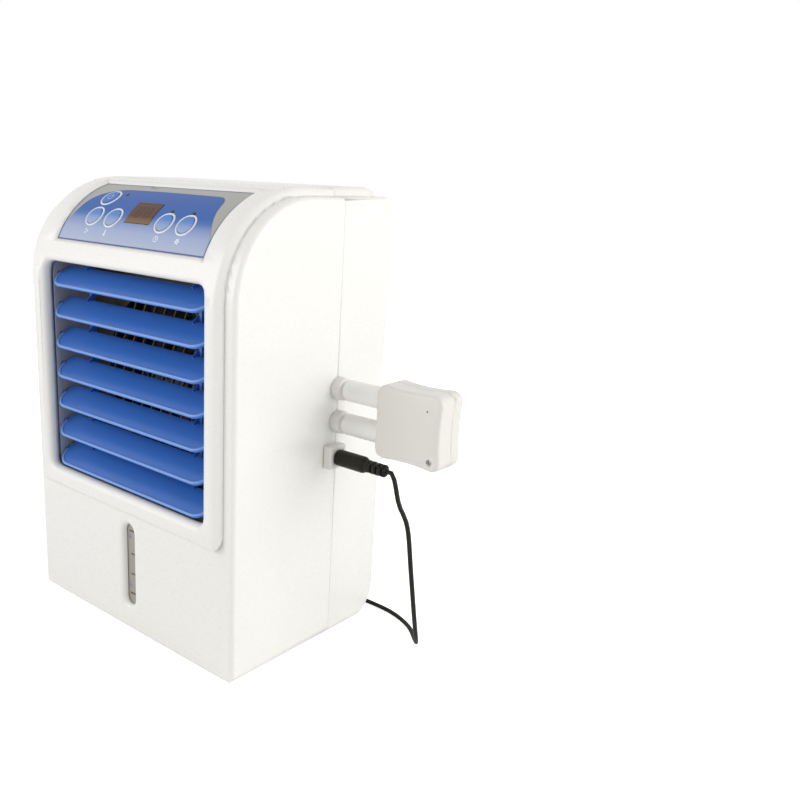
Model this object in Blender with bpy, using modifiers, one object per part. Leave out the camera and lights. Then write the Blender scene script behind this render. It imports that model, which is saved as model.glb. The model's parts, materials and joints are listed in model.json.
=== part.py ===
# Desktop evaporative cooling-fan host with its water return device.
# Metres, +Z up. The origin is on the surface below the middle of the host's box.
# Inside the casing frame X is to the right, Y to the back and Z up from the surface.

import math

import bmesh
import bpy
from mathutils import Matrix, Vector

for old in list(bpy.data.objects):
    bpy.data.objects.remove(old)

# Clearances and cutter overruns
GAP = 0.0003
PIN_GAP = 0.0003
OVERRUN = 0.002

# Casing
BODY_WIDTH = 0.202
BODY_DEPTH = 0.137
SIDE_HEIGHT = 0.2925
FOOT_DROP = 0.002
WALL = 0.0025
STRIP_RISE = 0.0054
FRONT_ARC = 0.060
STRIP_ARC = 0.068
REAR_TOP_ROUND = 0.007
REAR_BOTTOM_ROUND = 0.024
FRONT_BOTTOM_ROUND = 0.004
CORNER_ROUND = 0.008
EDGE_ROLL = 0.0033
SEAM_Y = 0.0888
SEAM_GAP = 0.0004
STRIP_MARGIN = 0.0086
STRIP_ROLL = 0.0050
STRIP_TAIL = 0.0145
STRIP_CORNER = 0.010
STRIP_TOP_MARGIN = 0.015
STRIP_TOP_ROLL = 0.009
HALF_WIDTH = BODY_WIDTH / 2
INNER_HALF = HALF_WIDTH - WALL
FLOOR_Z = FOOT_DROP + WALL
INNER_REAR = BODY_DEPTH - WALL

# Air outlet opening and its louvre
OPENING_MARGIN = 0.0139
OPENING_DROP = 0.049
OPENING_CORNER = 0.0055
OPENING_FLARE = 0.0045
BLADE_COUNT = 7
BLADE_PITCH = 0.0206
BLADE_TILT = 36.0
BLADE_CHORD = 0.0195
BLADE_PIVOT_SHARE = 0.60
BLADE_END_GAP = 0.0015
BLADE_THICKNESS = 0.0018
BLADE_FRONT_ROUND = 0.0108
BLADE_REAR_ROUND = 0.0045
BLADE_LIP_HEIGHT = 0.0008
BLADE_LIP_DEPTH = 0.0012
PIVOT_Y = 0.0075
PIVOT_DROP = 0.0092
PIVOT_RADIUS = 0.0013
CRANK_LENGTH = 0.0125
CRANK_PIN_RADIUS = 0.0008
EAR_HALF = 0.0013
EAR_THICKNESS = 0.0012
EAR_LIFT = 0.0008
LINK_X = 0.055
LINK_WIDTH = 0.0024
LINK_DEPTH = 0.0034
LINK_END = 0.0018
FRAME_DEPTH = 0.0277
FRAME_WALL = 0.002
FRAME_TOP_ROOM = 0.004

# Fan behind the outlet
FAN_SIZE = 0.1195
FAN_DEPTH = 0.025
FAN_BORE = 0.057
FAN_CORNER = 0.006
GUARD_THICKNESS = 0.002
GUARD_APERTURE = 0.0565
GUARD_BAR_PITCH = 0.009
GUARD_BAR_WIDTH = 0.0010
GUARD_BAR_SLANT = 62.0
HUB_RADIUS = 0.020
HUB_THICKNESS = 0.0028
STRUT_WIDTH = 0.005
MOTOR_RADIUS = 0.0148
MOTOR_LENGTH = 0.015
SHAFT_RADIUS = 0.0015
CUP_RADIUS = 0.0195
CUP_WALL = 0.004
CUP_ROOM = 0.0006
FAN_BLADES = 7
FAN_TIP = 0.0545
FAN_BLADE_CHORD = 0.0235
FAN_SCREW_RADIUS = 0.0021
FAN_SCREW_INSET = 0.0073
FAN_BLADE_THICKNESS = 0.0014
FAN_BLADE_ANGLE = 38.0

# Pad, tray and tank
PAD_MARGIN = 0.0165
PAD_DEPTH = 0.0175
PAD_FRAME_WALL = 0.003
PAD_Y = 0.0665
PAD_RISE = 0.0125
TRAY_HEIGHT = 0.0125
TRAY_WALL = 0.0015
TRAY_OVERHANG = 0.002
TRAY_HOLES = 12
TRAY_HOLE = 0.001
TANK_MARGIN = 0.0105
TANK_FRONT = 0.0078
TANK_DROP = 0.0135
TANK_WALL = 0.002
TANK_REAR_SPACE = 0.0065
TANK_ROUND_SHARE = 0.6
TANK_FRONT_ROUND = 0.003
SPOUT_MARGIN = 0.0155
SPOUT_Z = 0.018
SPOUT_RADIUS = 0.0055
SPOUT_BORE = 0.0034
PLUG_HEAD = 0.0075
PLUG_LENGTH = 0.010
HOSE_RADIUS = 0.004
HOSE_BORE = 0.0026
PUMP_MARGIN = 0.0325
PUMP_Y = 0.095
PUMP_WIDTH = 0.034
PUMP_DEPTH = 0.026
PUMP_HEIGHT = 0.026
PUMP_ROUND = 0.004
NOZZLE_RADIUS = 0.0042
NOZZLE_HEIGHT = 0.008

# Level window
WINDOW_HALF = 0.0050
WINDOW_BOTTOM = 0.0200
WINDOW_DROP = 0.0100
WINDOW_BEVEL = 0.0048
WINDOW_ROUND_SHARE = 0.98
WINDOW_SINK = 0.0035
WINDOW_THICKNESS = 0.0012
BOSS_HALF = 0.012
BOSS_MARGIN = 0.008
BOSS_DEPTH = 0.0060

# Control panel, on arcs about the axis of the raised strip
PANEL_FLOOR = 0.0647
PANEL_FACE = 0.0658
PANEL_THICKNESS = 0.0008
PANEL_LOW = 25.0
PANEL_HIGH = 74.0
PANEL_HALF = 0.0718
BUTTON_RADIUS = 0.0062
BUTTON_RISE = 0.0008
BUTTON_TRAVEL = 0.0008
BUTTON_DEPTH = 0.0072
FLANGE_RADIUS = 0.0070
FLANGE_THICKNESS = 0.0010
SWITCH_HALF = 0.003
SWITCH_STEM = 0.0008
BOARD_PLANE = 0.0540
BOARD_THICKNESS = 0.0016
BOARD_LOW = 33.0
BOARD_HIGH = 62.0
BOARD_MARGIN = 0.0118
BUTTON_ROW = 41.8
POWER_SHARE = -0.6212
POWER_PHI = 56.8
SPEED_SHARE = -0.6198
THERMO_SHARE = -0.3500
TIMER_SHARE = 0.3500
ION_SHARE = 0.6198
LENS_HALF = 0.012
LENS_LOW = 39.4
LENS_HIGH = 55.1
LENS_RISE = 0.0003
LED_RADIUS = 0.0012
LED_ROW = 50.0
LED_HIGH_ROW = 61.2
LED_LEFT_SHARE = -0.4596
LED_MIDDLE_SHARE = 0.3398
LED_RIGHT_SHARE = 0.6114
LENS_SEAT = 0.001
DISPLAY_DEPTH = 0.0058
DISPLAY_HALF = 0.0072

# Lid over the fill opening
LID_HALF = 0.070
LID_FRONT = 0.056
LID_MARGIN = 0.015
LID_THICKNESS = 0.0025
LID_CORNER = 0.005
LID_REST = 0.006
LID_HINGE_BACK = 0.003
LID_HINGE_DROP = 0.0015
LID_GROOVE = 0.0025
LID_PIN = 0.0009
LID_PIN_REACH = 0.0015
NOTCH_WIDTH = 0.004
NOTCH_START = 0.002
NOTCH_LENGTH = 0.009

# Rear grille
GRILLE_HALF = 0.070
GRILLE_HEIGHT = 0.150
GRILLE_RISE = 0.0065
GRILLE_PROUD = 0.002
GRILLE_RIM = 0.006
GRILLE_SPIGOT = 0.004
GRILLE_SLATS = 9
GRILLE_SLAT = 0.0035
GRILLE_CORNER = 0.005
MESH_THICKNESS = 0.0012

# Side ports, return device and power
PORT_DROP = 0.1168
PORT_PITCH = 0.0216
COLLAR_RADIUS = 0.00725
COLLAR_LENGTH = 0.0067
COLLAR_SEAT = 0.0045
NECK_RADIUS = 0.0055
NECK_LENGTH = 0.0018
NIPPLE_RADIUS = 0.0042
NIPPLE_BORE = 0.0028
NIPPLE_LENGTH = 0.018
NIPPLE_INNER = 0.014
SLEEVE_RADIUS = 0.0070
SLEEVE_GROOVE = 0.0008
SLEEVE_RIBS = 8
SLEEVE_LENGTH = 0.0299
DEVICE_WIDTH = 0.0465
DEVICE_HALF_HEIGHT = 0.0228
DEVICE_DEPTH = 0.0225
DEVICE_SEAM = 0.0130
DEVICE_CORNER = 0.006
DEVICE_HOLLOW = 0.0011
DEVICE_ROUND = 0.002
DEVICE_WALL = 0.0018
PINHOLE_RADIUS = 0.0006
PINHOLE_X = 0.010
PINHOLE_Z = 0.0127
SCREW_X = 0.0069
SCREW_Z = -0.0169
DEVICE_SCREW = 0.0016
SOCKET_Y = 0.0841
SOCKET_DROP = 0.0432
SOCKET_SIZE = 0.015
SOCKET_OUT = 0.0068
SOCKET_IN = 0.010
SOCKET_BORE = 0.0031
SOCKET_ROUND = 0.003
PLUG_BARREL = 0.0053
PLUG_BARREL_LENGTH = 0.0219
PLUG_RELIEF = 0.0040
PLUG_RELIEF_LENGTH = 0.0164
PLUG_TAIL = 0.0024
PLUG_TIP = 0.00275
PLUG_TIP_LENGTH = 0.0095
RELIEF_SLOTS = 3
RELIEF_SLOT = 0.0016
RELIEF_WEB = 0.0022

# Cord and adaptor
CORD_RADIUS = 0.0015
COIL_RADIUS = 0.0180
COIL_STEP = 0.0037
COIL_LAYER = 0.0036
COIL_TURNS = 4
COIL_X = 0.036
COIL_Y = 0.171
COIL_RAISE = 0.0012
TIE_WIDTH = 0.008
TIE_BAND = 0.0008
ADAPTOR_LENGTH = 0.062
ADAPTOR_DEPTH = 0.041
ADAPTOR_HEIGHT = 0.028
ADAPTOR_ROUND = 0.004
ADAPTOR_X = -0.054
ADAPTOR_Y = 0.1398
HEAD_THICKNESS = 0.0016
PRONG_LENGTH = 0.016
PRONG_WIDTH = 0.0062
PRONG_THICKNESS = 0.0015
PRONG_PITCH = 0.0127

# Fasteners, feet and small inner parts
CASE_SCREW_MARGIN = 0.0055
CASE_SCREW_LOW = 0.020
CASE_SCREW_DROP = 0.0225
POST_RADIUS = 0.0035
POST_FRONT = 0.018
CASE_SCREW_HEAD = 0.0028
CASE_SCREW_SINK = 0.0018
CASE_SCREW_RADIUS = 0.0013
CASE_SCREW_BITE = 0.012
FOOT_MARGIN = 0.021
FOOT_FRONT_Y = 0.022
FOOT_REAR_MARGIN = 0.033
FOOT_HALF_DEPTH = 0.006
FOOT_OVERHANG = 0.006
FOOT_STEM = 0.003
ION_WIDTH = 0.0125
ION_DEPTH = 0.025
ION_HEIGHT = 0.035
ION_Y = 0.035
ION_RISE = 0.0275
ION_NEEDLE = 0.0006
ION_NEEDLE_LENGTH = 0.004

# Places that follow from the sizes above. The louvre, fan, pad, grille, ports and panel
# hang from the casing's top, and the tank fills what is left below them.
STRIP_HALF = HALF_WIDTH - STRIP_MARGIN
STRIP_TOP_END = BODY_DEPTH - STRIP_TOP_MARGIN
OPENING_HALF = STRIP_HALF - OPENING_MARGIN
OPENING_TOP = SIDE_HEIGHT - OPENING_DROP
PIVOT_TOP_Z = OPENING_TOP - PIVOT_DROP
PIVOT_LOW_Z = PIVOT_TOP_Z - BLADE_PITCH * (BLADE_COUNT - 1)
OPENING_BOTTOM = PIVOT_LOW_Z - PIVOT_DROP
STRIP_BOTTOM = OPENING_BOTTOM - STRIP_TAIL
FAN_Z = (OPENING_TOP + OPENING_BOTTOM) / 2
ION_Z = FAN_Z + ION_RISE
PAD_HALF = OPENING_HALF - PAD_MARGIN
PAD_TOP = OPENING_TOP + PAD_RISE
GRILLE_TOP = OPENING_TOP + GRILLE_RISE
GRILLE_BOTTOM = GRILLE_TOP - GRILLE_HEIGHT
PORT_UPPER_Z = SIDE_HEIGHT - PORT_DROP
SOCKET_Z = PORT_UPPER_Z - SOCKET_DROP
CASE_SCREW_X = HALF_WIDTH - CASE_SCREW_MARGIN
CASE_SCREW_HIGH = SIDE_HEIGHT - CASE_SCREW_DROP
CASE_SCREW_ZS = (CASE_SCREW_LOW, CASE_SCREW_HIGH)
FOOT_X = HALF_WIDTH - FOOT_MARGIN
FOOT_REAR_Y = BODY_DEPTH - FOOT_REAR_MARGIN
LID_REAR = BODY_DEPTH - LID_MARGIN
TANK_HALF = HALF_WIDTH - TANK_MARGIN
SPOUT_X = SPOUT_MARGIN - TANK_HALF
PUMP_X = TANK_HALF - PUMP_MARGIN
BOARD_HALF = PANEL_HALF - BOARD_MARGIN
LED_PLACES = ((PANEL_HALF * LED_LEFT_SHARE, LED_HIGH_ROW),
              (PANEL_HALF * LED_MIDDLE_SHARE, LED_ROW),
              (PANEL_HALF * LED_RIGHT_SHARE, LED_ROW))
STRIP_CENTRE_Y = STRIP_ARC - STRIP_RISE
CROWN_TOP = SIDE_HEIGHT + STRIP_RISE
STRIP_CENTRE_Z = CROWN_TOP - STRIP_ARC
DEVICE_LEFT = HALF_WIDTH + COLLAR_LENGTH + GAP + NECK_LENGTH + GAP + SLEEVE_LENGTH + GAP
DEVICE_RIGHT = DEVICE_LEFT + DEVICE_WIDTH
DEVICE_Z = PORT_UPPER_Z - PORT_PITCH / 2
REAR_FACE = BODY_DEPTH + GRILLE_PROUD
GAP_ANGLE = math.degrees(GAP / PANEL_FLOOR)
TANK_BOTTOM = FLOOR_Z + GAP
TANK_TOP = OPENING_BOTTOM - TANK_DROP
WINDOW_TOP = TANK_TOP - WINDOW_DROP
WINDOW_CORNER = min(WINDOW_HALF, (WINDOW_TOP - WINDOW_BOTTOM) / 2) * WINDOW_ROUND_SHARE
TANK_REAR = INNER_REAR - TANK_REAR_SPACE
BLADE_HALF = OPENING_HALF - BLADE_END_GAP
LOUVRE_FRONT = WALL + GAP
LOUVRE_REAR = LOUVRE_FRONT + FRAME_DEPTH
GUARD_REAR = LOUVRE_REAR + GAP + GUARD_THICKNESS
FAN_FRONT = GUARD_REAR + GAP
FAN_REAR = FAN_FRONT + FAN_DEPTH
HUB_FRONT = FAN_REAR - HUB_THICKNESS
MOTOR_FRONT = HUB_FRONT - GAP - MOTOR_LENGTH
SOCKET_FACE = HALF_WIDTH + SOCKET_OUT
DEVICE_FRONT = SEAM_Y - DEVICE_DEPTH / 2
ORIGIN_X = (DEVICE_RIGHT - HALF_WIDTH) / 2
ORIGIN_Y = (REAR_FACE - STRIP_RISE) / 2

PARTS = bpy.data.collections.new("cooling_fan_host")
bpy.context.scene.collection.children.link(PARTS)
CUTTERS = bpy.data.collections.new("cutters")
bpy.context.scene.collection.children.link(CUTTERS)

ROOT = bpy.data.objects.new("casing_frame", None)
PARTS.objects.link(ROOT)
ROOT.location = (-ORIGIN_X, -ORIGIN_Y, 0)


# Helpers: every shape is made in the casing frame
def add_object(name, mesh):
    obj = bpy.data.objects.new(name, mesh)
    PARTS.objects.link(obj)
    obj.parent = ROOT
    return obj


def from_bmesh(name, bm):
    mesh = bpy.data.meshes.new(name)
    bmesh.ops.recalc_face_normals(bm, faces=bm.faces)
    if bm.calc_volume(signed=True) < 0:
        bmesh.ops.reverse_faces(bm, faces=bm.faces)
    bm.to_mesh(mesh)
    bm.free()
    return add_object(name, mesh)


def box(name, xs, ys, zs):
    bm = bmesh.new()
    bmesh.ops.create_cube(bm, size=1.0)
    size = Vector((xs[1] - xs[0], ys[1] - ys[0], zs[1] - zs[0]))
    middle = Vector((xs[1] + xs[0], ys[1] + ys[0], zs[1] + zs[0])) / 2
    bmesh.ops.scale(bm, vec=size, verts=bm.verts)
    bmesh.ops.translate(bm, vec=middle, verts=bm.verts)
    return from_bmesh(name, bm)


def turn_to(axis):
    return Vector((0, 0, 1)).rotation_difference(Vector(axis)).to_matrix().to_4x4()


def rod(name, start, axis, radius, length, sides=16, end_radius=None):
    bm = bmesh.new()
    tip = radius if end_radius is None else end_radius
    bmesh.ops.create_cone(bm, cap_ends=True, segments=sides, radius1=radius,
                          radius2=tip, depth=length)
    bmesh.ops.translate(bm, vec=(0, 0, length / 2), verts=bm.verts)
    bm.transform(Matrix.Translation(Vector(start)) @ turn_to(axis))
    return from_bmesh(name, bm)


def evaluated_mesh(obj):
    bpy.context.view_layer.update()
    graph = bpy.context.evaluated_depsgraph_get()
    return bpy.data.meshes.new_from_object(obj.evaluated_get(graph))


def bake(obj):
    mesh = evaluated_mesh(obj)
    obj.modifiers.clear()
    obj.data = mesh
    return obj


PLANES = {
    "XY": Matrix(((1, 0, 0, 0), (0, 1, 0, 0), (0, 0, 1, 0), (0, 0, 0, 1))),
    "YZ": Matrix(((0, 0, 1, 0), (1, 0, 0, 0), (0, 1, 0, 0), (0, 0, 0, 1))),
    "XZ": Matrix(((1, 0, 0, 0), (0, 0, 1, 0), (0, 1, 0, 0), (0, 0, 0, 1))),
}


def outline(name, loops, plane, low, high):
    """Flat outline (with holes) in a plane, raised from low to high along its normal."""
    curve = bpy.data.curves.new(name, "CURVE")
    curve.dimensions = "2D"
    curve.fill_mode = "BOTH"
    curve.extrude = (high - low) / 2
    for points in loops:
        spline = curve.splines.new("POLY")
        spline.points.add(len(points) - 1)
        for place, (u, v) in zip(spline.points, points):
            place.co = (u, v, 0, 1)
        spline.use_cyclic_u = True
    shape = add_object(name, curve)
    mesh = evaluated_mesh(shape)
    bpy.data.objects.remove(shape)
    bpy.data.curves.remove(curve)
    bm = bmesh.new()
    bm.from_mesh(mesh)
    bmesh.ops.remove_doubles(bm, verts=bm.verts, dist=1e-6)
    bmesh.ops.translate(bm, vec=(0, 0, (low + high) / 2), verts=bm.verts)
    bm.transform(PLANES[plane])
    return from_bmesh(name, bm)


def turned(name, profile, start, axis, sides=24):
    """Closed profile of (radius, height) pairs turned about the axis from start."""
    mesh = bpy.data.meshes.new(name)
    count = len(profile)
    edges = [(i, i + 1) for i in range(count - 1)]
    if profile[0][0] > 0 and profile[-1][0] > 0:
        edges.append((count - 1, 0))
    mesh.from_pydata([(r, 0, h) for r, h in profile], edges, [])
    obj = add_object(name, mesh)
    screw = obj.modifiers.new("turn", "SCREW")
    screw.axis = "Z"
    screw.steps = sides
    screw.render_steps = sides
    screw.use_merge_vertices = True
    screw.merge_threshold = 0.00001
    mesh = evaluated_mesh(obj)
    bpy.data.objects.remove(obj)
    bm = bmesh.new()
    bm.from_mesh(mesh)
    bmesh.ops.remove_doubles(bm, verts=bm.verts, dist=1e-6)
    bm.transform(Matrix.Translation(Vector(start)) @ turn_to(axis))
    return from_bmesh(name, bm)


def tube(name, points, radius, resolution=2):
    curve = bpy.data.curves.new(name, "CURVE")
    curve.dimensions = "3D"
    curve.bevel_depth = radius
    curve.bevel_resolution = resolution
    curve.use_fill_caps = True
    curve.twist_mode = "MINIMUM"
    spline = curve.splines.new("POLY")
    spline.points.add(len(points) - 1)
    for place, point in zip(spline.points, points):
        place.co = (point[0], point[1], point[2], 1)
    shape = add_object(name, curve)
    mesh = evaluated_mesh(shape)
    bpy.data.objects.remove(shape)
    bpy.data.curves.remove(curve)
    bm = bmesh.new()
    bm.from_mesh(mesh)
    bmesh.ops.remove_doubles(bm, verts=bm.verts, dist=1e-6)
    return from_bmesh(name, bm)


def loft(name, rings):
    """Closed body through rings that hold the same number of points."""
    bm = bmesh.new()
    rows = [[bm.verts.new(point) for point in ring] for ring in rings]
    count = len(rows[0])
    for lower, upper in zip(rows, rows[1:]):
        for i in range(count):
            j = (i + 1) % count
            bm.faces.new((lower[i], lower[j], upper[j], upper[i]))
    bm.faces.new(rows[0])
    bm.faces.new(rows[-1])
    return from_bmesh(name, bm)


def roll_steps(radius, count=3):
    """Pairs of inset and depth that round an edge, from the end face inwards."""
    steps = []
    for i in range(count + 1):
        angle = math.radians(90 * i / count)
        steps.append((radius * (1 - math.sin(angle)), radius * (1 - math.cos(angle))))
    return steps


def rolled_body(name, profile, half, radius):
    """Body along X whose side view is profile(inset) and whose end edges are rounded."""
    rings = []
    for inset, depth in roll_steps(radius):
        rings.append([(depth - half, y, z) for y, z in profile(inset)])
    rings += [[(-x, y, z) for x, y, z in ring] for ring in reversed(rings)]
    return loft(name, rings)


def boolean(target, tool, operation):
    mod = target.modifiers.new(operation.lower(), "BOOLEAN")
    mod.operation = operation
    mod.solver = "EXACT"
    mod.object = tool
    for holder in list(tool.users_collection):
        holder.objects.unlink(tool)
    CUTTERS.objects.link(tool)
    tool.hide_render = True
    tool.display_type = "WIRE"
    return target


def cut(target, *tools):
    for tool in tools:
        boolean(target, tool, "DIFFERENCE")
    return target


def join(target, *tools):
    for tool in tools:
        boolean(target, tool, "UNION")
    return target


def keep(target, tool):
    return boolean(target, tool, "INTERSECT")


def bevel(obj, width, segments=2, angle=40.0):
    mod = obj.modifiers.new("bevel", "BEVEL")
    mod.width = width
    mod.segments = segments
    mod.limit_method = "ANGLE"
    mod.angle_limit = math.radians(angle)
    return obj


def group(name, pieces):
    """One object from separate solids that belong to the same set."""
    bm = bmesh.new()
    for piece in pieces:
        mesh = evaluated_mesh(piece)
        bm.from_mesh(mesh)
        bpy.data.objects.remove(piece)
    return from_bmesh(name, bm)


def set_origin(obj, point):
    bake(obj)
    obj.data.transform(Matrix.Translation(-Vector(point)))
    obj.location = Vector(point)
    return obj


def finish(obj, colour, roughness, metallic=0.0, smooth=True):
    material = bpy.data.materials.new(obj.name)
    material.use_nodes = True
    shader = material.node_tree.nodes["Principled BSDF"]
    shader.inputs["Base Color"].default_value = (colour[0], colour[1], colour[2], 1)
    shader.inputs["Roughness"].default_value = roughness
    shader.inputs["Metallic"].default_value = metallic
    bake(obj)
    obj.data.materials.clear()
    obj.data.materials.append(material)
    if smooth:
        obj.data.shade_smooth()
        obj.data.set_sharp_from_angle(angle=math.radians(30))
    return obj


def arc(cu, cv, ru, rv, start, stop, count):
    """Points of an arc from start to stop degrees, both ends included."""
    points = []
    for i in range(count + 1):
        angle = math.radians(start + (stop - start) * i / count)
        points.append((cu + ru * math.cos(angle), cv + rv * math.sin(angle)))
    return points


def round_box(u0, u1, v0, v1, radius, count=4):
    """Rounded rectangle, counterclockwise."""
    r = radius
    points = arc(u1 - r, v0 + r, r, r, -90, 0, count)
    points += arc(u1 - r, v1 - r, r, r, 0, 90, count)
    points += arc(u0 + r, v1 - r, r, r, 90, 180, count)
    points += arc(u0 + r, v0 + r, r, r, 180, 270, count)
    return points


def panel_point(x, phi, radius):
    """Point over the panel arc: phi is measured from the front up to the top."""
    angle = math.radians(phi)
    return Vector((x, STRIP_CENTRE_Y - radius * math.cos(angle),
                   STRIP_CENTRE_Z + radius * math.sin(angle)))


def panel_normal(phi):
    angle = math.radians(phi)
    return Vector((0, -math.cos(angle), math.sin(angle)))


def panel_sector(r0, r1, low, high, count=8):
    """Band between two radii of the panel arc, in the YZ plane."""
    outer = arc(STRIP_CENTRE_Y, STRIP_CENTRE_Z, r1, r1, 180 - low, 180 - high, count)
    inner = arc(STRIP_CENTRE_Y, STRIP_CENTRE_Z, r0, r0, 180 - high, 180 - low, count)
    return outer + inner


def routed_path(points, step):
    """A smooth path whose first and last runs stay straight."""
    return [Vector(points[0])] + smooth_path(points[1:-1], step) + [Vector(points[-1])]


def smooth_path(points, step):
    """Even points along a smooth curve through the given points."""
    knots = [Vector(p) for p in points]
    knots = [knots[0] * 2 - knots[1]] + knots + [knots[-1] * 2 - knots[-2]]
    fine = []
    for a, b, c, d in zip(knots, knots[1:], knots[2:], knots[3:]):
        parts = 24
        for i in range(parts):
            t = i / parts
            fine.append(0.5 * (2 * b + (c - a) * t + (2 * a - 5 * b + 4 * c - d) * t ** 2
                               + (3 * b - a - 3 * c + d) * t ** 3))
    fine.append(knots[-2])
    total = sum((q - p).length for p, q in zip(fine, fine[1:]))
    count = max(2, round(total / step))
    result = [fine[0]]
    walked = 0.0
    target = total / count
    for p, q in zip(fine, fine[1:]):
        length = (q - p).length
        while walked + length >= target and len(result) < count:
            result.append(p.lerp(q, (target - walked) / length))
            target += total / count
        walked += length
    result.append(fine[-1])
    return result


# Casing: one closed outer body, hollowed and split at the seam
WHITE = (0.86, 0.85, 0.83)


def side_profile(inset):
    """Side view of the casing, moved in by inset."""
    low = FOOT_DROP + inset
    points = arc(FRONT_BOTTOM_ROUND, FOOT_DROP + FRONT_BOTTOM_ROUND,
                 FRONT_BOTTOM_ROUND - inset, FRONT_BOTTOM_ROUND - inset, 270, 180, 3)
    points += arc(FRONT_ARC, SIDE_HEIGHT - FRONT_ARC, FRONT_ARC - inset,
                  FRONT_ARC - inset, 180, 90, 12)
    points += arc(BODY_DEPTH - REAR_TOP_ROUND, SIDE_HEIGHT - REAR_TOP_ROUND,
                  REAR_TOP_ROUND - inset, REAR_TOP_ROUND - inset, 90, 0, 4)
    points += arc(BODY_DEPTH - REAR_BOTTOM_ROUND, low + REAR_BOTTOM_ROUND - inset,
                  REAR_BOTTOM_ROUND - inset, REAR_BOTTOM_ROUND - inset, 0, -90, 6)
    return points


def front_view(inset):
    """Front view of the casing, with its rounded lower corners."""
    half = HALF_WIDTH - inset
    low = FOOT_DROP + inset
    r = CORNER_ROUND - inset
    points = arc(half - r, low + r, r, r, -90, 0, 5)
    points += [(half, CROWN_TOP + OVERRUN), (-half, CROWN_TOP + OVERRUN)]
    points += arc(-half + r, low + r, r, r, 180, 270, 5)
    return points


def casing_solid(name, inset):
    if inset == 0:
        body = rolled_body(name, side_profile, HALF_WIDTH, EDGE_ROLL)
    else:
        body = outline(name, [side_profile(inset)], "YZ", inset - HALF_WIDTH,
                       HALF_WIDTH - inset)
    corners = outline(name + "_corners", [front_view(inset)], "XZ",
                      -OVERRUN, BODY_DEPTH + OVERRUN)
    return keep(body, corners)


def strip_profile(inset):
    """Side view of the raised strip, moved in by inset where it shows."""
    rise = STRIP_RISE - inset
    end_y = STRIP_TOP_END + STRIP_TOP_ROLL
    points = arc(0, STRIP_BOTTOM + STRIP_RISE, rise, rise, 270, 180, 4)
    points += arc(STRIP_CENTRE_Y, STRIP_CENTRE_Z, STRIP_ARC - inset,
                  STRIP_ARC - inset, 180, 90, 12)
    points += arc(STRIP_TOP_END, SIDE_HEIGHT, STRIP_TOP_ROLL - inset, rise, 90, 0, 4)
    return points + [(end_y - inset, SIDE_HEIGHT - FRONT_ARC), (FRONT_ARC, STRIP_BOTTOM + inset)]


def strip_solid(name):
    """Raised centre strip that runs up the front and over the top."""
    body = rolled_body(name, strip_profile, STRIP_HALF, STRIP_ROLL)
    half = STRIP_HALF
    view = arc(half - STRIP_CORNER, STRIP_BOTTOM + STRIP_CORNER,
               STRIP_CORNER, STRIP_CORNER, -90, 0, 5)
    view += [(half, CROWN_TOP + OVERRUN), (-half, CROWN_TOP + OVERRUN)]
    view += arc(-half + STRIP_CORNER, STRIP_BOTTOM + STRIP_CORNER,
                STRIP_CORNER, STRIP_CORNER, 180, 270, 5)
    corners = outline(name + "_corners", [view], "XZ",
                      -STRIP_RISE - OVERRUN, BODY_DEPTH + OVERRUN)
    return keep(body, corners)


def strip_front(z):
    """How far back the raised strip's face lies at a height."""
    if z <= STRIP_CENTRE_Z:
        return -STRIP_RISE
    rise = z - STRIP_CENTRE_Z
    return STRIP_CENTRE_Y - math.sqrt(STRIP_ARC ** 2 - rise ** 2)


def flare_ring(x0, x1, z0, z1, corner, grow, depth, follow):
    """Ring of an opening's rim, grown outwards, at a depth below the surface."""
    ring = []
    for x, z in round_box(x0 - grow, x1 + grow, z0 - grow, z1 + grow, corner + grow, 3):
        ring.append((x, (strip_front(z) if follow else 0) + depth, z))
    return ring


def rim_cutter(name, x0, x1, z0, z1, corner, flare_u, flare_v, through, follow):
    """Cutter for an opening with a rounded rim, wide at the surface."""
    front = -STRIP_RISE - OVERRUN
    edge = flare_ring(x0, x1, z0, z1, corner, flare_u, 0, follow)
    rings = [[(x, front, z) for x, y, z in edge]]
    for step in range(4):
        angle = math.radians(90 * step / 3)
        grow = flare_u * (1 - math.sin(angle))
        depth = flare_v * (1 - math.cos(angle))
        rings.append(flare_ring(x0, x1, z0, z1, corner, grow, depth, follow))
    rings.append([(x, through, z) for x, y, z in rings[-1]])
    return loft(name, rings)


def lid_outline(inset):
    return round_box(-LID_HALF + inset, LID_HALF - inset, LID_FRONT + inset,
                     LID_REAR - inset, LID_CORNER, 3)


def casing_cutters(half_name):
    """Cutters that the front housing and the rear cover share."""
    lid_floor = CROWN_TOP - LID_THICKNESS - GAP
    seat = outline(half_name + "_lid_seat", [lid_outline(-GAP)], "XY",
                   lid_floor, CROWN_TOP + OVERRUN)
    fill = outline(half_name + "_fill", [lid_outline(LID_REST)], "XY",
                   SIDE_HEIGHT - WALL - OVERRUN, CROWN_TOP + OVERRUN)
    hollow = casing_solid(half_name + "_hollow", WALL)
    return hollow, seat, fill


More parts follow.
